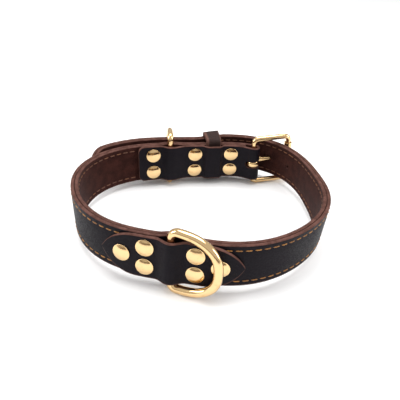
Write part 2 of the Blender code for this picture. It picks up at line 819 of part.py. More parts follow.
def tongue_crossing(route):
    """Distance along the strap at which the tongue's line passes through it."""
    start, end = tongue_line(route)
    line = Vector((end.x - start.x, end.y - start.y)).normalized()
    rows = []
    for k in range(round(SEARCH_LENGTH / SEARCH_STEP)):
        at = route.turn_length - SEARCH_LENGTH + k * SEARCH_STEP
        x, y = route.plan(at)
        rows.append((abs((x - start.x) * line.y - (y - start.y) * line.x), at))
    return min(rows)[1]


def punched_holes(route):
    """Cutters for the adjusting holes; the one in use lies along the tongue."""
    parts = []
    used = tongue_crossing(route)
    start, end = tongue_line(route)
    run = (end - start).normalized()
    entry = start + run * USED_HOLE_SETBACK
    leave = end - run * USED_HOLE_SETBACK
    parts.append(cylinder_between("cut_used", entry, leave, TONGUE_DIAMETER / 2 + 2 * FIT))
    for k in range(-HOLES_BEFORE, HOLES_AFTER + 1):
        if k:
            at = used + k * HOLE_PITCH
            height = STRAP_MID + route.rise(at)
            inner = route.point(at, INNER_FACE - FIT, height)
            outer = route.point(at, OUTER_GRAIN + FIT, height)
            parts.append(cylinder_between("cut_hole", inner, outer, HOLE_DIAMETER / 2))
    return join_guides("cut_holes", parts)


def fold_slot(route):
    """Cutter for the slot in the fold through which the tongue turns."""
    heel = buckle_axes(route)[0]
    tangent, up, wall_out = route.frame_at(0.0)
    reach = FRAME_WIRE / 2 + FIT + PLY + FIT
    length = SLOT_LENGTH + reach + FIT
    height = TONGUE_ROOT_WIDTH + 2 * SLOT_SLACK
    mesh = bpy.data.meshes.new("cut_slot")
    build = bmesh.new()
    bmesh.ops.create_cube(build, size=1.0)
    bmesh.ops.scale(build, vec=(length, 2 * reach + 2 * FIT, height), verts=build.verts)
    build.to_mesh(mesh)
    build.free()
    item = bpy.data.objects.new("cut_slot", mesh)
    bpy.context.scene.collection.objects.link(item)
    centre = heel + tangent * ((SLOT_LENGTH - reach - FIT) / 2)
    axes = Matrix((tangent, wall_out, up)).transposed().to_4x4()
    item.matrix_world = Matrix.Translation(centre) @ axes
    hide_guide(item)
    return item


def cut(item, cutter):
    """Take the cutter's volume out of the object with an exact boolean."""
    modifier = item.modifiers.new(cutter.name, "BOOLEAN")
    modifier.operation = "DIFFERENCE"
    modifier.solver = "EXACT"
    modifier.object = cutter


def seat_on_floor(items, carrier):
    """Lean the collar back on to its rear rims and bring its box's bottom centre to the origin."""
    carrier.rotation_euler = (-SEAT_TILT, 0.0, 0.0)
    bpy.context.view_layer.update()
    places = [item.matrix_world @ vertex.co for item in items for vertex in item.data.vertices]
    low = [min(place[axis] for place in places) for axis in range(3)]
    high = [max(place[axis] for place in places) for axis in range(3)]
    carrier.location = (-(low[0] + high[0]) / 2, -(low[1] + high[1]) / 2, -low[2])


def main():
    for item in list(bpy.data.objects):
        bpy.data.objects.remove(item)
    route = Route()
    black = add_material("black_grain_leather", (0.012, 0.010, 0.012), 0.5, 0.0)
    brown = add_material("brown_flesh_leather", (0.075, 0.030, 0.024), 0.85, 0.0)
    keeper_brown = add_material("keeper_leather", (0.070, 0.045, 0.040), 0.55, 0.0)
    brass = add_material("polished_brass", (0.90, 0.66, 0.30), 0.18, 1.0)
    outer = outer_ply(route, black)
    inner = inner_ply(route, brown)
    patch = front_patch(route, black)
    items = [outer, inner, patch, keeper(route, keeper_brown)]
    items += [lead_ring(route, brass), tag_ring(route, brass)]
    items += [buckle_frame(route, brass), buckle_roller(route, brass), buckle_tongue(route, brass)]
    rows = rivet_rows()
    items += [add_rivet(route, *row, brass) for row in rows]
    back_posts = post_holes(route, rows, "rivet_back")
    front_posts = post_holes(route, rows, "rivet_front")
    holes = punched_holes(route)
    slot = fold_slot(route)
    for leather, cutters in (
        (outer, (back_posts, front_posts, holes, slot)),
        (inner, (back_posts, front_posts, holes)),
        (patch, (front_posts,)),
    ):
        for cutter in cutters:
            cut(leather, cutter)
    carrier = bpy.data.objects.new("collar", None)
    bpy.context.scene.collection.objects.link(carrier)
    for item in items + [back_posts, front_posts, holes, slot]:
        item.parent = carrier
    seat_on_floor(items, carrier)


main()
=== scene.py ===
"""Fastened dog collar in two-ply leather on a pale studio floor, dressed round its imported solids.

Lengths are in metres. Distances along the strap start at the buckle's heel bar and run round by
the back, the left, the front and the right, as they do in the solids.
"""
from __future__ import annotations

import json
import logging
import math
from dataclasses import dataclass, field
from enum import Enum
from typing import Callable, Sequence

import bmesh
import bpy
import numpy as np
from mathutils import Matrix, Vector


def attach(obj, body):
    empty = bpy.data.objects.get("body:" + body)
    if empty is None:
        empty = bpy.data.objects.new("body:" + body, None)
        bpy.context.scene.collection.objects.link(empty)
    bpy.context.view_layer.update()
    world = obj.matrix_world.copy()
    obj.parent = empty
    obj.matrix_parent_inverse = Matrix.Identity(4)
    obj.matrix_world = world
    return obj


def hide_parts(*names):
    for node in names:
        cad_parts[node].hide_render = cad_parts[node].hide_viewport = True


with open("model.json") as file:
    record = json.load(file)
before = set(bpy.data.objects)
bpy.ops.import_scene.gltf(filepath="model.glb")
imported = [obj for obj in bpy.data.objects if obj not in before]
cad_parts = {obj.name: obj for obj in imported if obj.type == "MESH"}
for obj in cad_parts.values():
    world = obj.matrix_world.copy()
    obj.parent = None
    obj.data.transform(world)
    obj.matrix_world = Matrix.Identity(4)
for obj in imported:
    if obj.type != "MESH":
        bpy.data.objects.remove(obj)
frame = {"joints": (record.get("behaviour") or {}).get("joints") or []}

LOG = logging.getLogger("collar")
MM = 0.001
STRAP_BODY = "collar"
RING_BODY = "lead_ring"
ROLLER_BODY = "roller"
LEAST_RAMP = 0.3 * MM
HOLE_SIDES = 28
SHARP_LEATHER = math.radians(60.0)
SHARP_CAP = math.radians(50.0)
SHARP_TUBE = math.radians(40.0)


class Zone(Enum):
    """Which skin of a leather band a strip of its section shows."""

    GRAIN = 0
    EDGE = 1
    FLESH = 2


# Places along the strap


def ease(value: np.ndarray, start: float, end: float) -> np.ndarray:
    """Rise from 0 to 1 between two values in an even S.

    Args:
        value: Values to ease.
        start: Value at which the rise starts.
        end: Value at which it ends.

    Returns:
        The eased shares.
    """
    share = np.clip((np.asarray(value, float) - start) / (end - start), 0.0, 1.0)
    return share * share * (3 - 2 * share)


def hump(at: np.ndarray, centre: float, flat: float, before: float, after: float) -> np.ndarray:
    """Raised half wave over one place.

    Args:
        at: Distances along the strap.
        centre: Middle of the hump.
        flat: Half-length of its level top.
        before: Reach towards the start.
        after: Reach towards the end.

    Returns:
        Shares from 0 to 1.
    """
    away = np.asarray(at, float) - centre
    reach = np.where(away > 0, after, before)
    ramp = np.maximum(reach - flat, LEAST_RAMP)
    beyond = np.maximum(0.0, np.abs(away) - flat)
    return 0.5 * (1 + np.cos(np.pi * np.minimum(1.0, beyond / ramp)))


@dataclass
class StrapForm:
    """The strap's course round the neck and the offsets of everything that lies on it.

    The lobes are waves of the loop's radius: their number round the loop, their share of the
    radius and the angle of their crest in degrees.
    """

    width: float = 25.0 * MM
    ply: float = 2.0 * MM
    fit: float = 0.3 * MM
    loop_radius: float = 61.6 * MM
    lobes: tuple[tuple[int, float, float], ...] = (
        (1, 0.055, 202.0),
        (2, 0.0986, 7.8),
        (3, 0.058, 58.3),
        (4, 0.019, -38.0),
        (5, 0.008, -6.6),
        (6, 0.0094, -13.0),
    )
    heel_angle: float = math.radians(58.3)
    buckle_stand_off: float = 6.6 * MM
    tail_length: float = 123.0 * MM
    tail_rise: float = 1.4 * MM
    rise_length: float = 70.0 * MM
    tip_stand_off: float = 0.6 * MM
    lean_swing: float = math.radians(5.0)
    lean_crest: float = math.radians(-20.0)
    lean_back: float = math.radians(1.8)
    cap_radius: float = 4.75 * MM
    cap_height: float = 1.3 * MM
    pair_3: float = 17.0 * MM
    keeper_at: float = 30.0 * MM
    pair_2: float = 42.5 * MM
    tag_ring_at: float = 59.5 * MM
    pair_1: float = 71.5 * MM
    leaf_end: float = 82.0 * MM
    keeper_swell: float = 2.8 * MM
    keeper_swell_flat: float = 4.0 * MM
    tag_swell: float = 1.5 * MM
    patch_at: float = 232.0 * MM
    patch_pair: float = 13.0 * MM
    patch_dent: float = 2.0 * MM
    lead_wire: float = 4.9 * MM
    lead_fillet: float = 1.5 * MM
    lead_inner: float = 28.4 * MM
    tag_wire: float = 4.2 * MM
    frame_wire: float = 3.6 * MM
    samples: int = 1440
    seat_span: float = 2.1
    tangent_reach: float = 1.5 * MM
    shift: np.ndarray = field(default_factory=lambda: np.zeros(3))

    def __post_init__(self) -> None:
        """Lay out the middle line and seat it on the floor by the lead ring's joint."""
        self.lift = self.lead_wire + self.lead_fillet
        self.mid = self.lift + self.width / 2
        self.thick = 2 * self.ply + self.fit
        self.flesh = self.fit / 2
        self.grain = self.fit / 2 + self.ply
        self.inner = -self.grain
        self.rivet_stand_off = max(self.cap_height, self.tag_swell) + 2 * self.fit
        self.heel_offset = self.flesh - self.fit - self.frame_wire / 2
        self.back_rim = self.lift - self.fit - self.tag_wire
        self.tilt = math.atan2(self.back_rim, self.seat_span * self.loop_radius)
        turn = np.linspace(0.0, 2 * math.pi, self.samples + 1)
        base = self.base_points(self.heel_angle + turn)
        run = np.concatenate([[0.0], np.cumsum(np.hypot(*np.diff(base, axis=0).T))])
        along = np.gradient(base[:-1], axis=0)
        along[0] = base[1] - base[-2]
        along[-1] = base[0] - base[-3]
        along /= np.hypot(*along.T)[:, None]
        count = np.arange(2 * self.samples)
        inside = count % self.samples
        offset = (self.thick + self.buckle_stand_off) * run[inside] / run[-1]
        past = count >= self.samples
        offset = offset + past * (self.thick + self.tail_gap(run[inside]))
        square = np.stack([along[inside, 1], -along[inside, 0]], 1)
        self.line = base[inside] + square * offset[:, None]
        self.angle = self.heel_angle + 2 * math.pi * count / self.samples
        steps = np.hypot(*np.diff(self.line, axis=0).T)
        self.distance = np.concatenate([[0.0], np.cumsum(steps)])
        self.turn = float(self.distance[self.samples])
        self.end = self.turn + self.tail_length
        hinge = np.array(frame["joints"][0]["pos_m"])
        self.shift = hinge - self.ring_bar()

    def base_points(self, angle: np.ndarray) -> np.ndarray:
        """Return the plan of the loop at the given angles."""
        radius = np.full_like(angle, self.loop_radius)
        for turns, share, crest in self.lobes:
            radius = radius + self.loop_radius * share * np.cos(turns * (angle - math.radians(crest)))
        return np.stack([radius * np.cos(angle), radius * np.sin(angle)], 1)

    def tail_gap(self, at: np.ndarray) -> np.ndarray:
        """Return the gap between the strap and the tail that lies over it."""
        to_rivets = ease(at, self.pair_3, self.pair_2)
        to_tip = ease(at, self.pair_1 + self.cap_radius, self.tail_length)
        gap = self.buckle_stand_off + (self.rivet_stand_off - self.buckle_stand_off) * to_rivets
        return gap + (self.tip_stand_off - self.rivet_stand_off) * to_tip

    def tag_hump(self, at: np.ndarray) -> np.ndarray:
        """Return the share of the swell over the tag ring's bar."""
        before = self.tag_ring_at - self.pair_2 - self.cap_radius
        after = self.pair_1 - self.tag_ring_at - self.cap_radius
        return hump(at, self.tag_ring_at, self.fit, before, after)

    def strap_shift(self, at: np.ndarray) -> np.ndarray:
        """Return how far the strap swells outwards or dents in."""
        reach = self.patch_pair - self.cap_radius
        dent = self.patch_dent * hump(at, self.patch_at, self.fit, reach, reach)
        return self.tag_swell * self.tag_hump(at) - dent

    def leaf_flesh(self, at: np.ndarray) -> np.ndarray:
        """Return the offset of the folded-back leaf's flesh side."""
        heel_room = self.inner - self.heel_offset + self.frame_wire / 2
        heel_reach = self.pair_3 - self.cap_radius
        before = self.keeper_at - self.pair_3 - self.cap_radius
        after = self.pair_2 - self.keeper_at - self.cap_radius
        room = (self.tag_wire + self.fit) * self.tag_hump(at)
        over_keeper = hump(at, self.keeper_at, self.keeper_swell_flat, before, after)
        room = room + self.keeper_swell * over_keeper
        room = room + heel_room * hump(at, 0.0, self.fit, heel_reach, heel_reach)
        return self.inner + self.strap_shift(at) - self.fit - room

    def patch_flesh(self, at: np.ndarray) -> np.ndarray:
        """Return the offset of the front patch's flesh side."""
        reach = self.patch_pair - self.cap_radius
        over_bar = (self.lead_wire + self.fit) * hump(at, self.patch_at, self.fit, reach, reach)
        return self.grain + self.strap_shift(at) + self.fit + over_bar

    def plan(self, at: np.ndarray) -> np.ndarray:
        """Return the middle line's points in plan."""
        x = np.interp(at, self.distance, self.line[:, 0])
        return np.stack([x, np.interp(at, self.distance, self.line[:, 1])], -1)

    def tangent(self, at: np.ndarray) -> np.ndarray:
        """Return the unit direction along the strap in plan."""
        at = np.asarray(at, float)
        reach = self.tangent_reach
        along = self.plan(at + reach) - self.plan(np.maximum(0.0, at - reach))
        return along / np.linalg.norm(along, axis=-1, keepdims=True)

    def normal(self, at: np.ndarray) -> np.ndarray:
        """Return the unit direction straight out in plan."""
        along = self.tangent(at)
        return np.stack([along[..., 1], -along[..., 0]], -1)

    def lean(self, at: np.ndarray) -> np.ndarray:
        """Return the wall's lean, its upper edge outwards where positive."""
        angle = np.interp(at, self.distance, self.angle)
        return self.lean_swing * np.cos(2 * (angle - self.lean_crest)) - self.lean_back * np.sin(angle)

    def rise(self, at: np.ndarray) -> np.ndarray:
        """Return how much higher the strap runs than at its start."""
        return self.tail_rise * ease(at, self.turn - self.rise_length, self.turn)

    def bare_point(self, at: np.ndarray, offset: np.ndarray, height: np.ndarray) -> np.ndarray:
        """Return points before the collar is seated.

        Args:
            at: Distances along the strap.
            offset: Distances outwards from the middle line.
            height: Heights over the lead ring's rim.
        """
        height = np.asarray(height, float)
        away = np.asarray(offset + (height - self.mid) * np.tan(self.lean(at)))
        plan = self.plan(at) + self.normal(at) * away[..., None]
        return np.concatenate([plan, np.broadcast_to(height[..., None], plan[..., :1].shape)], -1)

    def bare_axes(self, at: float) -> tuple[np.ndarray, np.ndarray, np.ndarray]:
        """Return the wall's directions along, up and out, before the collar is seated."""
        lean = float(self.lean(at))
        nx, ny = self.normal(at)
        tx, ty = self.tangent(at)
        out = np.array([nx * math.cos(lean), ny * math.cos(lean), -math.sin(lean)])
        up = np.array([nx * math.sin(lean), ny * math.sin(lean), math.cos(lean)])
        return np.array([tx, ty, 0.0]), up, out

    def turn_back(self, vectors: np.ndarray) -> np.ndarray:
        """Lean vectors back by the tilt at which the collar rests."""
        c, s = math.cos(self.tilt), math.sin(self.tilt)
        turned = np.array(vectors, float)
        turned[..., 1] = vectors[..., 1] * c + vectors[..., 2] * s
        turned[..., 2] = vectors[..., 2] * c - vectors[..., 1] * s
        return turned

    def seat(self, points: np.ndarray) -> np.ndarray:
        """Bring bare points to where the collar stands."""
        return self.turn_back(points) + self.shift

    def point(self, at: np.ndarray, offset: np.ndarray, height: np.ndarray) -> np.ndarray:
        """Return seated points by distance, offset and height."""
        return self.seat(self.bare_point(np.asarray(at, float), offset, height))

    def ring_bar(self) -> np.ndarray:
        """Return the middle of the lead ring's bar, tilted but not yet moved."""
        at = self.patch_at
        offset = self.grain + float(self.strap_shift(at)) + self.fit + self.lead_wire / 2
        bar = self.bare_point(at, offset, self.mid)
        up = self.bare_axes(at)[1]
        bar = bar + up * (self.lead_wire + self.lead_inner / 2 - self.mid) / up[2]
        return self.turn_back(bar)


# Meshes from rows of points


@dataclass(frozen=True)
class Column:
    """One long line of a band's skin.

    Attributes:
        share: Where it lies across the width, from -1 at the lower edge to 1 at the upper.
        inset: Distance in from that edge.
        depth: 0 on the flesh side and 1 on the grain side.
        zone: Skin of the strip between this line and the next.
        seam: Share of the stitch groove that it takes.
    """

    share: float
    inset: float
    depth: float
    zone: Zone
    seam: float = 0.0


def band_columns(crown: float, rounding: float) -> list[Column]:
    """Section of a cut leather band with eased edges and room for a sunken seam.

    Args:
        crown: How far the middle stands up, as a share of the thickness.
        rounding: How far the grain side's corner is eased.

    Returns:
        The section's lines, anticlockwise from the lower edge of the grain side.
    """
    face = [(-1, rounding, 0.0, 0.0), (-1, 1.3 * MM, 0.4, 0.0), (-1, 2.4 * MM, 0.6, 0.25)]
    face += [(-1, 3.0 * MM, 0.6, 1.0), (-1, 3.6 * MM, 0.7, 0.25)]
    face += [(-0.4, 0.0, 0.95, 0.0), (0.0, 0.0, 1.0, 0.0)]
    face += [(-share, inset, lift, seam) for share, inset, lift, seam in reversed(face[:-1])]
    columns = [Column(s, i, 1.0 + crown * up, Zone.GRAIN, seam) for s, i, up, seam in face]
    columns[-1] = Column(1, rounding, 1.0, Zone.EDGE)
    bend = [(0.36, 0.965), (0.05, 0.87), (0.0, 0.5), (0.05, 0.13), (0.36, 0.035)]
    columns += [Column(1, rounding * i, depth, Zone.EDGE) for i, depth in bend]
    back = [(1, rounding, 0.0), (1, 2.4 * MM, 0.25), (1, 3.0 * MM, 1.0)]
    back += [(1, 3.6 * MM, 0.25), (0, 0.0, 0.0)]
    back += [(-share, inset, seam) for share, inset, seam in reversed(back[:-1])]
    columns += [Column(s, i, 0.0, Zone.FLESH, seam) for s, i, seam in back]
    columns[-1] = Column(-1, rounding, 0.0, Zone.EDGE)
    columns += [Column(-1, rounding * i, depth, Zone.EDGE) for i, depth in reversed(bend)]
    return columns


def skin(name: str, grid: np.ndarray, zones: Sequence[Zone], closed: bool) -> bpy.types.Mesh:
    """Make a tube-like mesh from rows of section points, with a UV map in metres.

    Args:
        name: Mesh name.
        grid: Points as rows, columns and coordinates.
        zones: Skin of each column's strip, the material slot of its faces.
        closed: Whether the last row joins the first; otherwise both ends are capped.

    Returns:
        The mesh, with u along the rows and v round the section.
    """
    rows, columns = grid.shape[:2]
    mesh = bpy.data.meshes.new(name)
    faces: list[tuple[int, ...]] = []
    slots: list[int] = []
    coords: list[tuple[float, float]] = []
    centre = grid.mean(1)
    along = np.concatenate([[0.0], np.cumsum(np.linalg.norm(np.diff(centre, axis=0), axis=1))])
    wide = grid[int(np.argmax(np.ptp(grid[..., 2], axis=1)))]
    around = np.concatenate([[0.0], np.cumsum(np.linalg.norm(np.roll(wide, -1, 0) - wide, axis=1))])
    for r in range(rows if closed else rows - 1):
        nxt = (r + 1) % rows
        u0 = float(along[r])
        u1 = float(along[nxt]) if nxt else u0 + float(np.linalg.norm(centre[0] - centre[-1]))
        for c in range(columns):
            side = (c + 1) % columns
            here, there = r * columns, nxt * columns
            faces.append((here + c, here + side, there + side, there + c))
            slots.append(zones[c].value)
            v0, v1 = float(around[c]), float(around[c + 1])
            coords += [(u0, v0), (u0, v1), (u1, v1), (u1, v0)]
    if not closed:
        last = (rows - 1) * columns
        faces.append(tuple(reversed(range(columns))))
        faces.append(tuple(range(last, last + columns)))
        slots += [Zone.EDGE.value] * 2
        coords += [(0.0, float(around[c])) for c in reversed(range(columns))]
        coords += [(float(along[-1]), float(around[c])) for c in range(columns)]
    mesh.from_pydata(grid.reshape(-1, 3).tolist(), [], faces)
    layer = mesh.uv_layers.new(name="UVMap")
    layer.data.foreach_set("uv", np.array(coords, np.float32).ravel())
    mesh.polygons.foreach_set("material_index", np.array(slots, np.int32))
    mesh.shade_smooth()
    mesh.update()
    return mesh


def turned_out(mesh: bpy.types.Mesh) -> bpy.types.Mesh:
    """Make the mesh's faces point outwards and return it."""
    build = bmesh.new()
    build.from_mesh(mesh)
    bmesh.ops.recalc_face_normals(build, faces=build.faces)
    build.to_mesh(mesh)
    build.free()
    return mesh


def link(name: str, data: bpy.types.ID | None) -> bpy.types.Object:
    """Put a new object in the scene and return it."""
    item = bpy.data.objects.new(name, data)
    bpy.context.scene.collection.objects.link(item)
    return item


def band_grid(corners: np.ndarray, columns: Sequence[Column], groove: np.ndarray) -> np.ndarray:
    """Fill rows of four corners with a band's section lines.

    Args:
        corners: Rows of flesh low, flesh high, grain high and grain low points.
        columns: The section's lines.
        groove: Depth of the seam's groove as a share of the thickness, by row.

    Returns:
        Points as rows, columns and coordinates.
    """
    tall = np.linalg.norm(corners[:, 1] - corners[:, 0], axis=1)
    grid = np.empty((len(corners), len(columns), 3))
    for k, column in enumerate(columns):
        inset = np.minimum(column.inset, 0.42 * tall) / tall
        h = 0.5 * (1 + column.share) - np.sign(column.share) * inset
        sink = groove * column.seam * np.where(tall > 0.8 * tall.max(), 1.0, 0.0)
        w = column.depth + sink * (1 if column.depth < 0.5 else -1)
        low = corners[:, 0] * (1 - w)[:, None] + corners[:, 3] * w[:, None]
        high = corners[:, 1] * (1 - w)[:, None] + corners[:, 2] * w[:, None]
        grid[:, k] = low * (1 - h)[:, None] + high * h[:, None]
    return grid


def cut_away(item: bpy.types.Object, cutters: Sequence[bpy.types.Object]) -> None:
    """Take cutters out of a piece with exact booleans and keep the result as its mesh."""
    for cutter in cutters:
        modifier = item.modifiers.new(cutter.name, "BOOLEAN")
        modifier.operation = "DIFFERENCE"
        modifier.solver = "EXACT"
        modifier.object = cutter
    bake_modifiers(item)
    for cutter in cutters:
        bpy.data.objects.remove(cutter)


def bake_modifiers(item: bpy.types.Object) -> None:
    """Replace a piece's mesh by what its modifiers make of it."""
    graph = bpy.context.evaluated_depsgraph_get()
    graph.update()
    made = bpy.data.meshes.new_from_object(
        item.evaluated_get(graph), preserve_all_data_layers=True, depsgraph=graph
    )
    item.modifiers.clear()
    item.data = made


def rod(name: str, start: np.ndarray, end: np.ndarray, radius: float) -> bpy.types.Object:
    """Round cutter between two points, whose walls take the cut edge's slot."""
    run = Vector(end - start)
    build = bmesh.new()
    bmesh.ops.create_cone(
        build, cap_ends=True, segments=HOLE_SIDES, radius1=radius, radius2=radius, depth=run.length
    )
    mesh = bpy.data.meshes.new(name)
    build.to_mesh(mesh)
    build.free()
    turn = run.to_track_quat("Z", "Y").to_matrix().to_4x4()
    mesh.transform(Matrix.Translation(Vector((start + end) / 2)) @ turn)
    return marked_cutter(name, mesh)


def marked_cutter(name: str, mesh: bpy.types.Mesh) -> bpy.types.Object:
    """Cutter object whose faces carry the cut edge's slot number."""
    for _ in Zone:
        mesh.materials.append(None)
    slots = np.full(len(mesh.polygons), Zone.EDGE.value, np.int32)
    mesh.polygons.foreach_set("material_index", slots)
    item = link(name, mesh)
    item.hide_render = True
    item.display_type = "WIRE"
    return item


# Node trees


class Tree:
    """Short way to fill a node tree."""

    def __init__(self, tree: bpy.types.NodeTree) -> None:
        """Keep the tree that is filled."""
        self.tree = tree

    def add(
        self, kind: str, inputs: dict[str | int, object] | None = None, **props: object
    ) -> bpy.types.Node:
        """Add a node.

        Args:
            kind: Node type name.
            inputs: Values or output sockets for its inputs, by name or number.
            **props: Properties of the node.

        Returns:
            The node.
        """
        node = self.tree.nodes.new(kind)
        for key, value in props.items():
            setattr(node, key, value)
        for key, value in (inputs or {}).items():
            if isinstance(value, bpy.types.NodeSocket):
                self.tree.links.new(value, node.inputs[key])
            else:
                node.inputs[key].default_value = value
        return node

    def math(
        self, operation: str, a: object, b: object = 0.0, clamp: bool = False
    ) -> bpy.types.NodeSocket:
        """Add a math node and return its output."""
        return self.add("ShaderNodeMath", {0: a, 1: b}, operation=operation, use_clamp=clamp).outputs[0]

    def vector(self, operation: str, a: object, b: object) -> bpy.types.NodeSocket:
        """Add a vector math node and return its output."""
        return self.add("ShaderNodeVectorMath", {0: a, 1: b}, operation=operation).outputs[0]

    def noise(self, place: object, scale: object, **more: float) -> bpy.types.Node:
        """Add a noise texture, its further sockets by name, and return it."""
        return self.add("ShaderNodeTexNoise", {"Vector": place, "Scale": scale, **more})

    def remap(
        self, value: object, low: float, high: float, to_low: float, to_high: float
    ) -> bpy.types.NodeSocket:
        """Map a range of values smoothly onto another and return the output."""
        sockets = {0: value, 1: low, 2: high, 3: to_low, 4: to_high}
        return self.add("ShaderNodeMapRange", sockets, interpolation_type="SMOOTHSTEP").outputs[0]

    def mix(self, share: object, a: object, b: object) -> bpy.types.NodeSocket:
        """Mix two colours and return the result."""
        return self.add("ShaderNodeMix", {0: share, 6: a, 7: b}, data_type="RGBA").outputs[2]

    def join(self, output: bpy.types.NodeSocket, socket: bpy.types.NodeSocket) -> None:
        """Link an output to an input."""
        self.tree.links.new(output, socket)


def fill_grain(tree: Tree, given: bpy.types.Node, out: bpy.types.Node) -> None:
    """Fill the leather grain group: pebbles, pores and soft creases."""
    spot = given.outputs["Vector"]
    pore = tree.math("DIVIDE", 1.0, given.outputs["Pore Size"])
    crease = tree.math("DIVIDE", 1.0, given.outputs["Crease Size"])
    bend = tree.noise(spot, pore, Detail=2.0)
    warp = tree.vector("MULTIPLY", bend.outputs["Color"], (0.35, 0.35, 0.35))
    sockets = {"Vector": tree.vector("ADD", spot, warp), "Scale": pore}
    cells = tree.add("ShaderNodeTexVoronoi", sockets, feature="SMOOTH_F1")
    pebble = tree.remap(cells.outputs["Distance"], 0.1, 0.75, 1.0, 0.0)
    folds = tree.noise(spot, crease, Detail=4.0, Distortion=1.4)
    ridge = tree.math("ABSOLUTE", tree.math("SUBTRACT", folds.outputs[0], 0.5))
    line = tree.remap(ridge, 0.0, 0.06, 0.0, 1.0)
    fine = tree.noise(spot, tree.math("MULTIPLY", pore, 3.1))
    height = tree.math("MULTIPLY", pebble, 0.55)
    height = tree.math("ADD", height, tree.math("MULTIPLY", line, 0.3))
    height = tree.math("ADD", height, tree.math("MULTIPLY", fine.outputs[0], 0.15))
    tree.join(height, out.inputs["Height"])
    tree.join(pebble, out.inputs["Pebble"])


def fill_fibre(tree: Tree, given: bpy.types.Node, out: bpy.types.Node) -> None:
    """Fill the fibre group: matted fibres drawn out along the hide and cloudy patches."""
    spot = given.outputs["Vector"]
    stretch = tree.add("ShaderNodeCombineXYZ", {0: given.outputs["Draw"], 1: 1.0, 2: 1.0})
    drawn = tree.vector("MULTIPLY", spot, stretch.outputs[0])
    scale = tree.math("DIVIDE", 1.0, given.outputs["Fibre Size"])
    hairs = tree.noise(drawn, scale, Detail=5.0, Roughness=0.7, Distortion=0.6)
    cloud = tree.noise(spot, tree.math("MULTIPLY", scale, 0.09), Detail=3.0)
    tree.join(hairs.outputs[0], out.inputs["Height"])
    tree.join(tree.remap(cloud.outputs[0], 0.3, 0.7, 0.0, 1.0), out.inputs["Cloud"])


def fill_edge(tree: Tree, given: bpy.types.Node, out: bpy.types.Node) -> None:
    """Fill the edge wear group: a ragged band in from both edges of the grain side."""
    spot = given.outputs["Vector"]
    parts = tree.add("ShaderNodeSeparateXYZ", {0: spot})
    far = tree.math("SUBTRACT", given.outputs["Width"], parts.outputs[1])
    near = tree.math("MINIMUM", parts.outputs[1], far)
    ragged = tree.noise(spot, 1.7, Detail=3.0)
    near = tree.math("SUBTRACT", near, tree.math("MULTIPLY", ragged.outputs[0], given.outputs["Fade"]))
    share = tree.math("DIVIDE", near, given.outputs["Fade"])
    tree.join(tree.remap(share, -0.4, 0.8, 1.0, 0.0), out.inputs["Mask"])


def fill_rub(tree: Tree, given: bpy.types.Node, out: bpy.types.Node) -> None:
    """Fill the metal rub group: fine scratches over soft uneven polish."""
    spot = given.outputs["Vector"]
    size = tree.math("DIVIDE", 1.0, given.outputs["Patch Size"])
    uneven = tree.noise(spot, size, Detail=3.0)
    long_way = tree.vector("MULTIPLY", spot, (1.0, 7.0, 1.0))
    lines = tree.noise(long_way, tree.math("MULTIPLY", size, 6.0), Detail=2.0)
    tree.join(uneven.outputs[0], out.inputs["Uneven"])
    tree.join(lines.outputs[0], out.inputs["Scratches"])


@dataclass(frozen=True)
class Effect:
    """Surface effect that several finishes share, kept as one node group.

    Attributes:
        name: Group name.
        sizes: Names and starting values of its inputs, in millimetres.
        results: Names of its outputs.
        fill: Fills the group, given the tree helper and its input and output nodes.
    """

    name: str
    sizes: dict[str, float]
    results: tuple[str, ...]
    fill: Callable[[Tree, bpy.types.Node, bpy.types.Node], None]

    def group(self) -> bpy.types.NodeTree:
        """Return the group, made at its first use."""
        made = bpy.data.node_groups.get(self.name)
        if made:
            return made
        made = bpy.data.node_groups.new(self.name, "ShaderNodeTree")
        socket = made.interface.new_socket
        socket(name="Vector", in_out="INPUT", socket_type="NodeSocketVector")
        for label, value in self.sizes.items():
            socket(name=label, in_out="INPUT", socket_type="NodeSocketFloat").default_value = value
        for label in self.results:
            socket(name=label, in_out="OUTPUT", socket_type="NodeSocketFloat")
        tree = Tree(made)
        self.fill(tree, tree.add("NodeGroupInput"), tree.add("NodeGroupOutput"))
        return made

    def use(self, tree: Tree, place: bpy.types.NodeSocket, **sizes: float) -> bpy.types.Node:
        """Place the group in a material.

        Args:
            tree: The material's tree.
            place: Coordinates in millimetres.
            **sizes: Its inputs, with underscores for spaces.

        Returns:
            The group's node.
        """
        named_sizes = {label.replace("_", " "): value for label, value in sizes.items()}
        return tree.add("ShaderNodeGroup", {"Vector": place, **named_sizes}, node_tree=self.group())


GRAIN = Effect(
    "leather_grain", {"Pore Size": 0.7, "Crease Size": 6.0}, ("Height", "Pebble"), fill_grain
)
FIBRE = Effect("leather_fibre", {"Fibre Size": 0.5, "Draw": 0.6}, ("Height", "Cloud"), fill_fibre)
WEAR = Effect("edge_wear", {"Width": 24.0, "Fade": 0.5}, ("Mask",), fill_edge)
RUB = Effect("metal_rub", {"Patch Size": 3.0}, ("Uneven", "Scratches"), fill_rub)


# Finishes

Colour = tuple[float, float, float, float]


def new_material(name: str) -> tuple[bpy.types.Material, Tree, bpy.types.Node]:
    """Make a material and return it with its tree helper and its shader."""
    material = bpy.data.materials.new(name)
    material.use_nodes = True
    tree = Tree(material.node_tree)
    return material, tree, material.node_tree.nodes["Principled BSDF"]


def in_millimetres(tree: Tree, output: str) -> bpy.types.NodeSocket:
    """Return a texture coordinate scaled to millimetres."""
    coordinate = tree.add("ShaderNodeTexCoord").outputs[output]
    return tree.vector("MULTIPLY", coordinate, (1 / MM, 1 / MM, 1 / MM))


def raise_bump(
    tree: Tree, shader: bpy.types.Node, height: object, strength: float, depth: float
) -> None:
    """Feed a height to the shader's normal through a bump of the given depth."""
    bump = tree.add("ShaderNodeBump", {"Height": height, "Strength": strength, "Distance": depth})
    tree.join(bump.outputs[0], shader.inputs["Normal"])


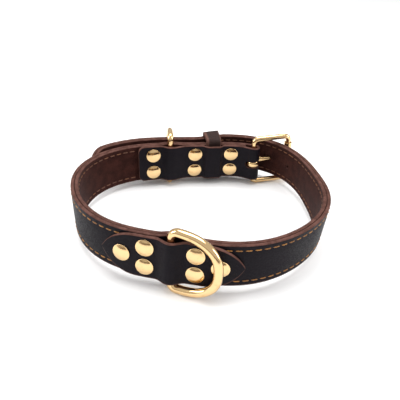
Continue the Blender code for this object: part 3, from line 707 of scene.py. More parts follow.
@dataclass(frozen=True)
class GrainFinish:
    """Dyed grain side of leather, worn along its edges.

    Attributes:
        name: Material name.
        dye: Colour of the dyed face.
        worn: Colour where the dye is rubbed away.
        pore: Size of the pebbles in millimetres.
        gloss: Roughness of the polished tops.
        shine: Specular level.
        width: Width of the band in millimetres, for the wear along its edges.
    """

    name: str
    dye: Colour
    worn: Colour
    pore: float
    gloss: float
    shine: float
    width: float

    def build(self) -> bpy.types.Material:
        """Build the material."""
        material, tree, shader = new_material(self.name)
        place = in_millimetres(tree, "UV")
        grain = GRAIN.use(tree, place, Pore_Size=self.pore, Crease_Size=7.0)
        fibre = FIBRE.use(tree, place, Fibre_Size=1.3, Draw=1.0)
        edge = WEAR.use(tree, place, Width=self.width, Fade=0.5)
        pale = tuple(min(1.0, 1.6 * c + 0.001) for c in self.dye[:3]) + (1.0,)
        colour = tree.mix(tree.math("MULTIPLY", fibre.outputs["Cloud"], 0.7), self.dye, pale)
        colour = tree.mix(tree.math("MULTIPLY", edge.outputs["Mask"], 0.75), colour, self.worn)
        tree.join(colour, shader.inputs["Base Color"])
        rough = tree.remap(grain.outputs["Pebble"], 0.0, 1.0, self.gloss + 0.16, self.gloss)
        rough = tree.math("ADD", rough, tree.math("MULTIPLY", fibre.outputs["Cloud"], 0.08))
        tree.join(rough, shader.inputs["Roughness"])
        shader.inputs["Specular IOR Level"].default_value = self.shine
        raise_bump(tree, shader, grain.outputs["Height"], 0.5, 0.09 * MM)
        return material


@dataclass(frozen=True)
class FleshFinish:
    """Raw side or cut edge of leather, with its fibres.

    Attributes:
        name: Material name.
        dark: Colour of the darker patches.
        light: Colour of the lighter patches.
        fibre: Size of the fibres in millimetres.
        draw: How little the fibres change along the strap.
        depth: Height of the nap.
        fuzz: Sheen of the nap.
    """

    name: str
    dark: Colour
    light: Colour
    fibre: float
    draw: float
    depth: float
    fuzz: float

    def build(self) -> bpy.types.Material:
        """Build the material."""
        material, tree, shader = new_material(self.name)
        place = in_millimetres(tree, "UV")
        fibre = FIBRE.use(tree, place, Fibre_Size=self.fibre, Draw=self.draw)
        tone = tree.remap(fibre.outputs["Height"], 0.3, 0.7, 0.0, 1.0)
        share = tree.math("MULTIPLY", tree.math("ADD", tone, fibre.outputs["Cloud"]), 0.5, clamp=True)
        tree.join(tree.mix(share, self.dark, self.light), shader.inputs["Base Color"])
        tree.join(tree.remap(tone, 0.0, 1.0, 0.95, 0.74), shader.inputs["Roughness"])
        shader.inputs["Specular IOR Level"].default_value = 0.06
        shader.inputs["Sheen Weight"].default_value = self.fuzz
        shader.inputs["Sheen Roughness"].default_value = 0.5
        raise_bump(tree, shader, fibre.outputs["Height"], 0.7, self.depth)
        return material


@dataclass(frozen=True)
class BrassFinish:
    """Polished pale brass plate with handling marks.

    Attributes:
        name: Material name.
        bright: Colour of the clean plate.
        dull: Colour where it is tarnished.
        polish: Least roughness.
    """

    name: str
    bright: Colour
    dull: Colour
    polish: float

    def build(self) -> bpy.types.Material:
        """Build the material."""
        material, tree, shader = new_material(self.name)
        place = in_millimetres(tree, "Object")
        rub = RUB.use(tree, place, Patch_Size=4.0)
        dull = tree.remap(rub.outputs["Uneven"], 0.52, 0.8, 0.0, 0.6)
        tree.join(tree.mix(dull, self.bright, self.dull), shader.inputs["Base Color"])
        rough = tree.remap(rub.outputs["Uneven"], 0.3, 0.75, self.polish, self.polish + 0.07)
        rough = tree.math("ADD", rough, tree.math("MULTIPLY", rub.outputs["Scratches"], 0.03))
        tree.join(rough, shader.inputs["Roughness"])
        shader.inputs["Metallic"].default_value = 1.0
        swell = tree.math("MULTIPLY", rub.outputs["Uneven"], 1.5)
        height = tree.math("ADD", rub.outputs["Scratches"], swell)
        raise_bump(tree, shader, height, 0.25, 0.02 * MM)
        return material


@dataclass(frozen=True)
class ThreadFinish:
    """Waxed thread, each stitch a little different.

    Attributes:
        name: Material name.
        light: Colour of a clean stitch.
        dark: Colour of a soiled stitch.
    """

    name: str
    light: Colour
    dark: Colour

    def build(self) -> bpy.types.Material:
        """Build the material."""
        material, tree, shader = new_material(self.name)
        place = in_millimetres(tree, "Object")
        fibre = FIBRE.use(tree, place, Fibre_Size=0.25, Draw=1.0)
        tint = tree.add("ShaderNodeAttribute", attribute_name="tint").outputs["Fac"]
        soil = tree.math("MULTIPLY", fibre.outputs[0], 0.3)
        share = tree.math("ADD", tree.math("MULTIPLY", tint, 0.8), soil)
        tree.join(tree.mix(share, self.light, self.dark), shader.inputs["Base Color"])
        tree.join(tree.remap(fibre.outputs[0], 0.3, 0.7, 0.5, 0.75), shader.inputs["Roughness"])
        raise_bump(tree, shader, fibre.outputs["Height"], 0.4, 0.05 * MM)
        return material


@dataclass
class Palette:
    """All finishes of the collar, built once."""

    black: bpy.types.Material = field(init=False)
    edge: bpy.types.Material = field(init=False)
    suede: bpy.types.Material = field(init=False)
    keeper: bpy.types.Material = field(init=False)
    brass: bpy.types.Material = field(init=False)
    thread: bpy.types.Material = field(init=False)
    inner_thread: bpy.types.Material = field(init=False)

    def __post_init__(self) -> None:
        """Build each finish."""
        dye, worn = (0.0026, 0.0010, 0.0032, 1.0), (0.070, 0.032, 0.025, 1.0)
        self.black = GrainFinish("black_grain", dye, worn, 0.75, 0.42, 0.13, 25.0).build()
        dark, light = (0.048, 0.021, 0.016, 1.0), (0.150, 0.072, 0.058, 1.0)
        self.edge = FleshFinish("cut_edge", dark, light, 0.35, 0.25, 0.06 * MM, 0.0).build()
        dark, light = (0.014, 0.0038, 0.0030, 1.0), (0.047, 0.0145, 0.0105, 1.0)
        self.suede = FleshFinish("brown_suede", dark, light, 0.5, 0.7, 0.08 * MM, 0.04).build()
        dye, worn = (0.022, 0.0115, 0.0098, 1.0), (0.13, 0.06, 0.045, 1.0)
        self.keeper = GrainFinish("keeper_grain", dye, worn, 0.7, 0.5, 0.15, 10.4).build()
        bright, dull = (0.80, 0.557, 0.285, 1.0), (0.60, 0.36, 0.15, 1.0)
        self.brass = BrassFinish("pale_brass", bright, dull, 0.08).build()
        light, dark = (0.42, 0.18, 0.030, 1.0), (0.20, 0.080, 0.016, 1.0)
        self.thread = ThreadFinish("waxed_thread", light, dark).build()
        # The inner rows get a darker copy of the thread.
        light, dark = (0.17, 0.058, 0.016, 1.0), (0.075, 0.024, 0.010, 1.0)
        self.inner_thread = ThreadFinish("soiled_thread", light, dark).build()


# Geometry Nodes


class Sockets(Enum):
    """Socket types of the node trees' inputs."""

    GEOMETRY = "NodeSocketGeometry"
    FLOAT = "NodeSocketFloat"
    INT = "NodeSocketInt"
    OBJECT = "NodeSocketObject"
    MATERIAL = "NodeSocketMaterial"


def geometry_tree(
    name: str, inputs: Sequence[tuple[str, Sockets]]
) -> tuple[Tree, bpy.types.Node, bpy.types.Node]:
    """Start a geometry tree with named inputs.

    Args:
        name: Tree name.
        inputs: Name and type of each input after the geometry.

    Returns:
        The tree helper and its input and output nodes.
    """
    made = bpy.data.node_groups.new(name, "GeometryNodeTree")
    for label, kind in (("Geometry", Sockets.GEOMETRY), *inputs):
        made.interface.new_socket(name=label, in_out="INPUT", socket_type=kind.value)
    made.interface.new_socket(name="Geometry", in_out="OUTPUT", socket_type=Sockets.GEOMETRY.value)
    tree = Tree(made)
    return tree, tree.add("NodeGroupInput"), tree.add("NodeGroupOutput")


def run_tree(item: bpy.types.Object, tree: Tree, values: dict[str, object]) -> None:
    """Run a geometry tree on a piece and keep the plain mesh.

    Args:
        item: Piece whose geometry goes in.
        tree: Tree to run.
        values: Values of its inputs by name.
    """
    modifier = item.modifiers.new(tree.tree.name, "NODES")
    modifier.node_group = tree.tree
    for entry in tree.tree.interface.items_tree:
        if entry.in_out == "INPUT" and entry.name in values:
            modifier[entry.identifier] = values[entry.name]
    bake_modifiers(item)


def named(tree: Tree, name: str) -> bpy.types.NodeSocket:
    """Read a vector attribute of the geometry."""
    node = tree.add("GeometryNodeInputNamedAttribute", {"Name": name}, data_type="FLOAT_VECTOR")
    return node.outputs["Attribute"]


def stitch_tree() -> Tree:
    """Tree that sews a stitch at every pitch of the seam lines that go in."""
    inputs = [("Stitch", Sockets.OBJECT), ("Pitch", Sockets.FLOAT), ("Unevenness", Sockets.FLOAT)]
    inputs += [("Seed", Sockets.INT), ("Thread", Sockets.MATERIAL)]
    tree, given, out = geometry_tree("sewn_seam", inputs)
    curve = tree.add("GeometryNodeMeshToCurve", {"Mesh": given.outputs["Geometry"]})
    spaced = tree.add(
        "GeometryNodeResampleCurve",
        {"Curve": curve.outputs[0], "Length": given.outputs["Pitch"]},
        mode="LENGTH",
    )
    along = tree.add("GeometryNodeInputTangent").outputs[0]
    facing = tree.add(
        "FunctionNodeAxesToRotation",
        {0: along, 1: named(tree, "facing")},
        primary_axis="X",
        secondary_axis="Z",
    )
    chance = tree.add("FunctionNodeRandomValue", {"Seed": given.outputs["Seed"]}, data_type="FLOAT")
    spread = tree.add(
        "ShaderNodeMapRange", {0: chance.outputs[1], 1: 0.0, 2: 1.0, 3: -1.0, 4: 1.0}
    ).outputs[0]
    size = tree.math("ADD", 1.0, tree.math("MULTIPLY", spread, given.outputs["Unevenness"]))
    shape = tree.add("GeometryNodeObjectInfo", {"Object": given.outputs["Stitch"], "As Instance": True})
    sewn = tree.add(
        "GeometryNodeInstanceOnPoints",
        {
            "Points": spaced.outputs[0],
            "Instance": shape.outputs["Geometry"],
            "Rotation": facing.outputs[0],
            "Scale": size,
        },
    )
    tint = tree.add(
        "GeometryNodeStoreNamedAttribute",
        {"Geometry": sewn.outputs[0], "Name": "tint", "Value": chance.outputs[1]},
        data_type="FLOAT",
        domain="INSTANCE",
    )
    finish(tree, tint.outputs[0], given.outputs["Thread"], out)
    return tree


def cap_tree() -> Tree:
    """Tree that sets a rivet cap on every point that goes in, facing its stored way."""
    inputs = [("Cap", Sockets.OBJECT), ("Size", Sockets.FLOAT)]
    inputs += [("Seed", Sockets.INT), ("Brass", Sockets.MATERIAL)]
    tree, given, out = geometry_tree("rivet_caps", inputs)
    points = tree.add("GeometryNodeMeshToPoints", {"Mesh": given.outputs["Geometry"]})
    facing = tree.add("FunctionNodeAlignRotationToVector", {"Vector": named(tree, "facing")}, axis="Z")
    sockets = {2: 0.0, 3: 2 * math.pi, "Seed": given.outputs["Seed"]}
    chance = tree.add("FunctionNodeRandomValue", sockets, data_type="FLOAT")
    spin = tree.add("ShaderNodeCombineXYZ", {2: chance.outputs[1]})
    ways = {0: facing.outputs[0], 1: spin.outputs[0]}
    turned = tree.add("FunctionNodeRotateRotation", ways, rotation_space="LOCAL")
    shape = tree.add("GeometryNodeObjectInfo", {"Object": given.outputs["Cap"], "As Instance": True})
    sockets = {"Points": points.outputs[0], "Instance": shape.outputs["Geometry"]}
    sockets |= {"Rotation": turned.outputs[0], "Scale": given.outputs["Size"]}
    caps = tree.add("GeometryNodeInstanceOnPoints", sockets)
    finish(tree, caps.outputs[0], given.outputs["Brass"], out)
    return tree


def wire_tree() -> Tree:
    """Tree that sweeps a round wire along the closed line that goes in."""
    inputs = [("Wire", Sockets.FLOAT), ("Sides", Sockets.INT), ("Brass", Sockets.MATERIAL)]
    tree, given, out = geometry_tree("bent_wire", inputs)
    curve = tree.add("GeometryNodeMeshToCurve", {"Mesh": given.outputs["Geometry"]})
    radius = tree.math("MULTIPLY", given.outputs["Wire"], 0.5)
    sockets = {"Resolution": given.outputs["Sides"], "Radius": radius}
    ring = tree.add("GeometryNodeCurvePrimitiveCircle", sockets, mode="RADIUS")
    swept = tree.add(
        "GeometryNodeCurveToMesh", {"Curve": curve.outputs[0], "Profile Curve": ring.outputs[0]}
    )
    finish(tree, swept.outputs[0], given.outputs["Brass"], out)
    return tree


def finish(
    tree: Tree, made: bpy.types.NodeSocket, material: bpy.types.NodeSocket, out: bpy.types.Node
) -> None:
    """End a geometry tree with real, smooth geometry in its material."""
    real = tree.add("GeometryNodeRealizeInstances", {"Geometry": made})
    smooth = tree.add("GeometryNodeSetShadeSmooth", {"Geometry": real.outputs[0]})
    sockets = {"Geometry": smooth.outputs[0], "Material": material}
    tree.join(tree.add("GeometryNodeSetMaterial", sockets).outputs[0], out.inputs[0])


def line_object(
    name: str, lines: Sequence[np.ndarray], facing: Sequence[np.ndarray], closed: bool
) -> bpy.types.Object:
    """Object of bare edges along lines of points, with the way that each point faces.

    Args:
        name: Object name.
        lines: Lines of points.
        facing: Direction of each point, line by line.
        closed: Whether each line joins its own start.

    Returns:
        The object.
    """
    points: list[list[float]] = []
    edges: list[tuple[int, int]] = []
    for line in lines:
        start = len(points)
        points += line.tolist()
        edges += [(k, k + 1) for k in range(start, len(points) - 1)]
        if closed:
            edges.append((len(points) - 1, start))
    mesh = bpy.data.meshes.new(name)
    mesh.from_pydata(points, edges, [])
    layer = mesh.attributes.new("facing", "FLOAT_VECTOR", "POINT")
    layer.data.foreach_set("vector", np.concatenate(facing).astype(np.float32).ravel())
    return link(name, mesh)


# Leather


@dataclass
class Leather:
    """The collar's leather: outer ply with its folded leaf, inner ply, patch and keeper.

    Attributes:
        form: The strap.
        palette: The finishes.
        step: Distance between sections along the strap.
        patch_step: Distance between sections along the patch.
        end_steps: Sections of a rounded or pointed end.
        blunt: Share of the tail's round that is drawn, so that it doesn't end in a point.
        patch_blunt: The same for the patch's points.
        fold_steps: Sections of the turn round the heel bar.
        leaf_swing: First and last angle of the leaf's corner, and its sections.
        seam_fade: Distances at which the seam's groove starts and is full.
        keeper_steps: Sections of each of the keeper's bends.
        keeper_lift: Share of its thickness at which the keeper's flesh side starts.
        groove: Depth of the seam's groove as a share of the thickness.
    """

    form: StrapForm
    palette: Palette
    step: float = 1.6 * MM
    patch_step: float = 0.8 * MM
    end_steps: int = 16
    blunt: float = 0.975
    patch_blunt: float = 0.993
    fold_steps: int = 25
    leaf_swing: tuple[float, float, int] = (84.0, 12.0, 7)
    seam_fade: tuple[float, float] = (6.0 * MM, 9.0 * MM)
    keeper_steps: int = 9
    keeper_lift: float = 0.03
    leaf_corner: float = 4.0 * MM
    tail_tip: float = 11.0 * MM
    inner_start: float = 6.5 * MM
    patch_half: float = 36.5 * MM
    patch_point: float = 18.5 * MM
    patch_width: float = 24.4 * MM
    keeper_width: float = 10.4 * MM
    keeper_slack: float = 1.2 * MM
    keeper_bend: float = 1.0 * MM
    keeper_ply: float = 1.7 * MM
    slot_length: float = 4.5 * MM
    slot_height: float = 5.2 * MM
    hole: float = 2.6 * MM
    hole_pitch: float = 16.5 * MM
    holes: tuple[int, ...] = (-1, 1, 2, 3)
    used_hole: float = 4.1 * MM
    groove: float = 0.09

    def wall_rows(
        self, at: np.ndarray, flesh: np.ndarray, grain: np.ndarray, share: np.ndarray, width: float,
        risen: bool = True,
    ) -> np.ndarray:
        """Corner points of wall sections.

        Args:
            at: Distances along the strap.
            flesh: Offsets of the flesh side.
            grain: Offsets of the grain side.
            share: Share of the width at each row.
            width: Full width.
            risen: Whether the band rises with the strap towards its tail.

        Returns:
            Rows of flesh low, flesh high, grain high and grain low points.
        """
        middle = self.form.mid + (self.form.rise(at) if risen else 0.0 * at)
        low = middle - width / 2 * share
        high = middle + width / 2 * share
        place = self.form.point
        corners = ((flesh, low), (flesh, high), (grain, high), (grain, low))
        return np.stack([place(at, *corner) for corner in corners], 1)

    def fold_rows(self) -> np.ndarray:
        """Corner points of the outer ply's turn round the heel bar."""
        form = self.form
        heel = form.plan(0.0) + form.normal(0.0) * form.heel_offset
        tangent, normal = form.tangent(0.0), form.normal(0.0)
        shear = math.tan(float(form.lean(0.0)))
        radius = form.frame_wire / 2 + form.fit
        rows = []
        far = radius + form.ply
        for swing in np.linspace(-0.5 * math.pi, 0.5 * math.pi, self.fold_steps):
            ray = -tangent * math.cos(swing) + normal * math.sin(swing)
            section = []
            for reach, side in ((radius, 0), (radius, 1), (far, 1), (far, 0)):
                height = form.lift + form.width * side
                plan = heel + ray * reach + normal * (height - form.mid) * shear
                section.append([plan[0], plan[1], height])
            rows.append(section)
        return form.seat(np.array(rows))

    def band(
        self, name: str, rows: np.ndarray, stitched: np.ndarray, crown: float, closed: bool = False,
        rounding: float = 0.42 * MM,
    ) -> bpy.types.Object:
        """Skin corner rows with a finished section and put the band in the scene.

        Args:
            name: Name of the piece.
            rows: Rows of flesh low, flesh high, grain high and grain low points.
            stitched: Share of the seam's groove at each row.
            crown: How far the grain side's middle stands up, as a share of the thickness.
            closed: Whether the band is a loop.
            rounding: How far the grain side's corners are eased.

        Returns:
            The band, with an empty material slot for each zone.
        """
        columns = band_columns(crown, rounding)
        grid = band_grid(rows, columns, self.groove * stitched)
        mesh = turned_out(skin(name, grid, [column.zone for column in columns], closed))
        for _ in Zone:
            mesh.materials.append(None)
        return link(name, mesh)

    def strap_stations(self, start: float) -> tuple[np.ndarray, np.ndarray]:
        """Distances and shares of width from a start to the tail's tip."""
        root = self.form.end - self.tail_tip
        plain = np.arange(start, root, self.step)
        swing = 0.5 * math.pi * np.arange(1, self.end_steps + 1) / self.end_steps * self.blunt
        tip = self.form.end - self.tail_tip * (1 - np.sin(swing))
        return np.concatenate([plain, tip]), np.concatenate([np.ones_like(plain), np.cos(swing)])

    def outer_ply(self) -> bpy.types.Object:
        """Make the outer ply: leaf, fold, strap and tail."""
        form = self.form
        corner = np.radians(np.linspace(*self.leaf_swing))
        bend = form.leaf_end - self.leaf_corner * (1 - np.sin(corner))
        straight = form.leaf_end - self.leaf_corner
        leaf = np.concatenate([bend, np.arange(straight, 0.0, -self.step / 2)])
        into = np.maximum(0.0, leaf - straight)
        drop = self.leaf_corner - np.sqrt(np.maximum(0.0, self.leaf_corner**2 - into**2))
        flesh = form.leaf_flesh(leaf)
        share = 1 - drop / (form.width / 2)
        leaf_rows = self.wall_rows(leaf, flesh, flesh - form.ply, share, form.width, False)
        at, share = self.strap_stations(self.step)
        shift = form.strap_shift(at)
        strap_rows = self.wall_rows(at, form.flesh + shift, form.grain + shift, share, form.width)
        fold = self.fold_rows()
        rows = np.concatenate([leaf_rows, fold, strap_rows])
        unstitched = np.zeros(len(leaf_rows) + len(fold))
        stitched = np.concatenate([unstitched, ease(at, *self.seam_fade)])
        ply = self.band("outer_leather", rows, stitched, crown=0.05)
        cut_away(ply, [self.slot_cutter(), *self.hole_cutters()])
        return self.dress(ply, "outer_ply", self.palette.black)

    def inner_ply(self) -> bpy.types.Object:
        """Make the lining strap."""
        form = self.form
        at, share = self.strap_stations(self.inner_start)
        shift = form.strap_shift(at)
        rows = self.wall_rows(at, form.inner + shift, -form.fit / 2 + shift, share, form.width)
        stitched = ease(at, form.leaf_end, form.leaf_end + 3 * MM)
        ply = self.band("inner_leather", rows, stitched, crown=0.0)
        cut_away(ply, self.hole_cutters())
        return self.dress(ply, "inner_ply", self.palette.suede)

    def front_patch(self) -> bpy.types.Object:
        """Make the pointed patch over the lead ring's bar."""
        form = self.form
        half = self.patch_width / 2
        radius = (self.patch_point**2 + half**2) / (2 * half)
        swing = 0.5 * math.pi * np.arange(1, self.end_steps + 1) / self.end_steps
        into = self.patch_point * np.sin(swing) * self.patch_blunt
        share = (np.sqrt(radius**2 - into**2) - radius + half) / half
        root = self.patch_half - self.patch_point
        plain = np.arange(-root, root + 0.1 * MM, self.patch_step)
        at = form.patch_at + np.concatenate([-(root + into)[::-1], plain, root + into])
        shares = np.concatenate([share[::-1], np.ones_like(plain), share])
        flesh = form.patch_flesh(at)
        rows = self.wall_rows(at, flesh, flesh + form.ply, shares, self.patch_width, False)
        patch = self.band("patch_leather", rows, np.zeros(len(at)), crown=0.08)
        return self.dress(patch, "front_patch", self.palette.black)

    def keeper(self) -> bpy.types.Object:
        """Make the band that holds the tail down beside the buckle."""
        form = self.form
        low = form.lift - form.fit
        high = form.lift + form.tail_rise + form.width + form.fit + self.keeper_slack
        before = form.keeper_at - self.keeper_width / 2
        after = form.keeper_at + self.keeper_width / 2
        bends = [(False, False), (True, False), (True, True), (False, True)]
        rows = []
        for number, (outside, top) in enumerate(bends):
            bend = self.keeper_bend if top else 0.0
            height = high - bend if top else low
            for k in range(self.keeper_steps):
                turn = 0.5 * math.pi * (number + k / (self.keeper_steps - 1)) - math.pi
                section = []
                lift = self.keeper_lift
                for at, grow in ((before, lift), (after, lift), (after, 1.0), (before, 1.0)):
                    run = form.inner + float(form.strap_shift(at)) - form.fit + bend
                    if outside:
                        run = form.grain + float(form.tail_gap(at)) + form.thick + form.fit - bend
                    reach = self.keeper_ply * grow + bend
                    section.append(
                        form.point(at, run + reach * math.cos(turn), height + reach * math.sin(turn))
                    )
                rows.append(section)
        flat = np.zeros(len(rows))
        rounding = 0.3 * MM
        loop = self.band("keeper_leather", np.array(rows), flat, 0.06, closed=True, rounding=rounding)
        return self.dress(loop, "keeper", self.palette.keeper)

    def slot_cutter(self) -> bpy.types.Object:
        """Cutter for the tongue's slot in the fold, with round ends."""
        form = self.form
        heel = form.point(0.0, form.heel_offset, form.mid)
        along, up, out = (form.turn_back(axis) for axis in form.bare_axes(0.0))
        reach = form.frame_wire / 2 + form.ply + 3 * form.fit
        radius = self.slot_height / 2
        build = bmesh.new()
        outline = [(-reach, -radius), (-reach, radius)]
        centre = self.slot_length - radius
        for turn in np.linspace(0.5 * math.pi, -0.5 * math.pi, 13):
            outline.append((centre + radius * math.cos(turn), radius * math.sin(turn)))
        sides = []
        for deep in (-reach, reach):
            ring = [heel + along * x + up * z + out * deep for x, z in outline]
            sides.append([build.verts.new(Vector(place)) for place in ring])
        build.faces.new(sides[0])
        build.faces.new(sides[1])
        for k in range(len(outline)):
            nxt = (k + 1) % len(outline)
            build.faces.new((sides[0][k], sides[0][nxt], sides[1][nxt], sides[1][k]))
        bmesh.ops.recalc_face_normals(build, faces=build.faces)
        mesh = bpy.data.meshes.new("slot_cutter")
        build.to_mesh(mesh)
        build.free()
        return marked_cutter("slot_cutter", mesh)

    def hole_cutters(self) -> list[bpy.types.Object]:
        """Cutters for the adjusting holes; the one in use follows the tongue."""
        form = self.form
        buckle = Buckle(form, self.palette)
        start, end = buckle.shaft()
        trim = (end - start) / np.linalg.norm(end - start) * 2 * MM
        cutters = [rod("used_hole", start + trim, end - trim, self.used_hole / 2)]
        used = buckle.crossing()
        for k in self.holes:
            at = used + k * self.hole_pitch
            height = form.mid + form.rise(at)
            inner = form.point(at, form.inner - form.fit, height)
            outer = form.point(at, form.grain + form.fit, height)
            cutters.append(rod(f"hole_{k}", inner, outer, self.hole / 2))
        return cutters

    def dress(
        self, item: bpy.types.Object, node: str, face: bpy.types.Material
    ) -> bpy.types.Object:
        """Give a band its skins, in the order of Zone, and declare what it stands for."""
        for number, material in enumerate((face, self.palette.edge, self.palette.suede)):
            item.data.materials[number] = material
        item.data.set_sharp_from_angle(angle=SHARP_LEATHER)
        return declare(item, STRAP_BODY, [node])


def declare(item: bpy.types.Object, body: str, nodes: Sequence[str]) -> bpy.types.Object:
    """Tie a finished piece to its body, hide the solids it stands for, and report it."""
    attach(item, body)
    if nodes:
        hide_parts(*nodes)
    LOG.info("%s: %d faces on %s", item.name, len(item.data.polygons), body)
    return item


# Thread


@dataclass
class Seams:
    """Two rows of stitches along both faces of the strap.

    Attributes:
        form: The strap.
        palette: The finishes.
        pitch: Length of one stitch with its gap.
        length: Length of the thread that shows.
        thickness: Thickness of the thread.
        inset: Distance of each row from the strap's edge.
        tip_inset: Distance of the turn from the tail's tip.
        tip_length: Length of the tail's round.
        heel_clear: Distance from the heel bar at which the outer rows start.
        leaf_clear: Distance from the leaf's end at which the inner rows start.
        patch_clear: Distance from the patch's middle at which the outer rows break off.
        tail_start: Distance before the buckle at which the tail's rows take over.
        spacing: Distance between the points of a row.
        sunk: Depth of the rows in their groove.
        dive: How far a stitch's ends dive into the leather, as a share of its thickness.
        taper: How much its ends narrow.
        flat: Its height as a share of its width.
        ply_bulge: Share by which its two plies stand out.
        ply_turn: Turn of the plies from its middle to an end.
        raised: How far its middle stands up, as a share of its thickness.
    """

    form: StrapForm
    palette: Palette
    pitch: float = 4.8 * MM
    length: float = 3.7 * MM
    thickness: float = 0.72 * MM
    inset: float = 3.0 * MM
    tip_inset: float = 4.0 * MM
    tip_length: float = 11.0 * MM
    heel_clear: float = 9.0 * MM
    leaf_clear: float = 4.0 * MM
    patch_clear: float = 28.5 * MM
    tail_start: float = 30.0 * MM
    spacing: float = 1.0 * MM
    sunk: float = 0.1 * MM
    dive: float = 0.42
    taper: float = 0.55
    flat: float = 0.8
    ply_bulge: float = 0.16
    ply_turn: float = 3.4
    raised: float = 0.12

    def stitch(self) -> bpy.types.Object:
        """Make one twisted stitch whose ends dive into the leather."""
        rings, sides = 11, 8
        grid = np.empty((rings, sides, 3))
        for r in range(rings):
            share = 2 * r / (rings - 1) - 1
            sink = self.dive * abs(share) ** 3 * self.thickness
            girth = self.thickness / 2 * (1 - self.taper * abs(share) ** 5)
            for k in range(sides):
                turn = 2 * math.pi * k / sides
                radius = girth * (1 + self.ply_bulge * math.cos(2 * (turn - self.ply_turn * share)))
                across = radius * math.sin(turn)
                up = self.flat * radius * math.cos(turn) + self.raised * self.thickness - sink
                grid[r, k] = (share * self.length / 2, across, up)
        mesh = turned_out(skin("stitch", grid, [Zone.GRAIN] * sides, False))
        item = link("stitch", mesh)
        item.hide_render = True
        return item

    def row(
        self, start: float, end: float, side: float, outwards: bool
    ) -> tuple[np.ndarray, np.ndarray]:
        """Points and facings of one straight row.

        Args:
            start: Distance at which it starts.
            end: Distance at which it ends.
            side: -1 for the lower row and 1 for the upper.
            outwards: Whether the row is on the outside.

        Returns:
            The points and the ways that they face.
        """
        at = np.arange(start, end, self.spacing)
        return self.seated(at, np.full(len(at), side * (self.form.width / 2 - self.inset)), outwards)

    def seated(
        self, at: np.ndarray, height: np.ndarray, outwards: bool
    ) -> tuple[np.ndarray, np.ndarray]:
        """Points and facings on a face of the strap.

        Args:
            at: Distances along the strap.
            height: Heights over its middle line.
            outwards: Whether the face is the outer one.

        Returns:
            The points and the ways that they face.
        """
        form = self.form
        face = form.grain - self.sunk if outwards else form.inner + self.sunk
        points = form.point(at, face + form.strap_shift(at), form.mid + form.rise(at) + height)
        ways = np.array([form.turn_back(form.bare_axes(float(a))[2]) for a in at])
        return points, ways if outwards else -ways

    def around_tip(self, outwards: bool) -> tuple[np.ndarray, np.ndarray]:
        """Points and facings of a row that runs up to the tail's tip, round it and back."""
        form = self.form
        root = form.end - self.tip_length
        straight = np.arange(form.turn - self.tail_start + self.spacing, root, self.spacing)
        swing = np.linspace(0.0, math.pi, 40)[1:-1]
        half = form.width / 2 - self.inset
        bend = root + (self.tip_length - self.tip_inset) * np.sin(swing)
        at = np.concatenate([straight, bend, straight[::-1]])
        rows = [np.full(len(straight), -half), -half * np.cos(swing), np.full(len(straight), half)]
        return self.seated(at, np.concatenate(rows), outwards)

    def build(self) -> None:
        """Sew the rows of both faces."""
        form = self.form
        last = form.turn - self.tail_start
        outer, inner = [], []
        for side in (-1.0, 1.0):
            outer.append(self.row(self.heel_clear, form.patch_at - self.patch_clear, side, True))
            outer.append(self.row(form.patch_at + self.patch_clear, last, side, True))
            inner.append(self.row(form.leaf_end + self.leaf_clear, last, side, False))
        outer.append(self.around_tip(True))
        inner.append(self.around_tip(False))
        self.sew("seam_thread", outer, self.palette.thread, 7)
        self.sew("inner_seam_thread", inner, self.palette.inner_thread, 11)

    def sew(
        self, name: str, lines: Sequence[tuple[np.ndarray, np.ndarray]], thread: bpy.types.Material,
        seed: int,
    ) -> bpy.types.Object:
        """Sew rows of stitches in one piece.

        Args:
            name: Name of the piece.
            lines: Points and facings of each row.
            thread: Finish of the thread.
            seed: Seed of the stitches' unevenness.

        Returns:
            The piece.
        """
        item = line_object(name, [line[0] for line in lines], [line[1] for line in lines], False)
        stitch = self.stitch()
        values = {"Stitch": stitch, "Pitch": self.pitch, "Unevenness": 0.05, "Seed": seed}
        run_tree(item, stitch_tree(), values | {"Thread": thread})
        bpy.data.objects.remove(stitch)
        return declare(item, STRAP_BODY, [])


# Hardware


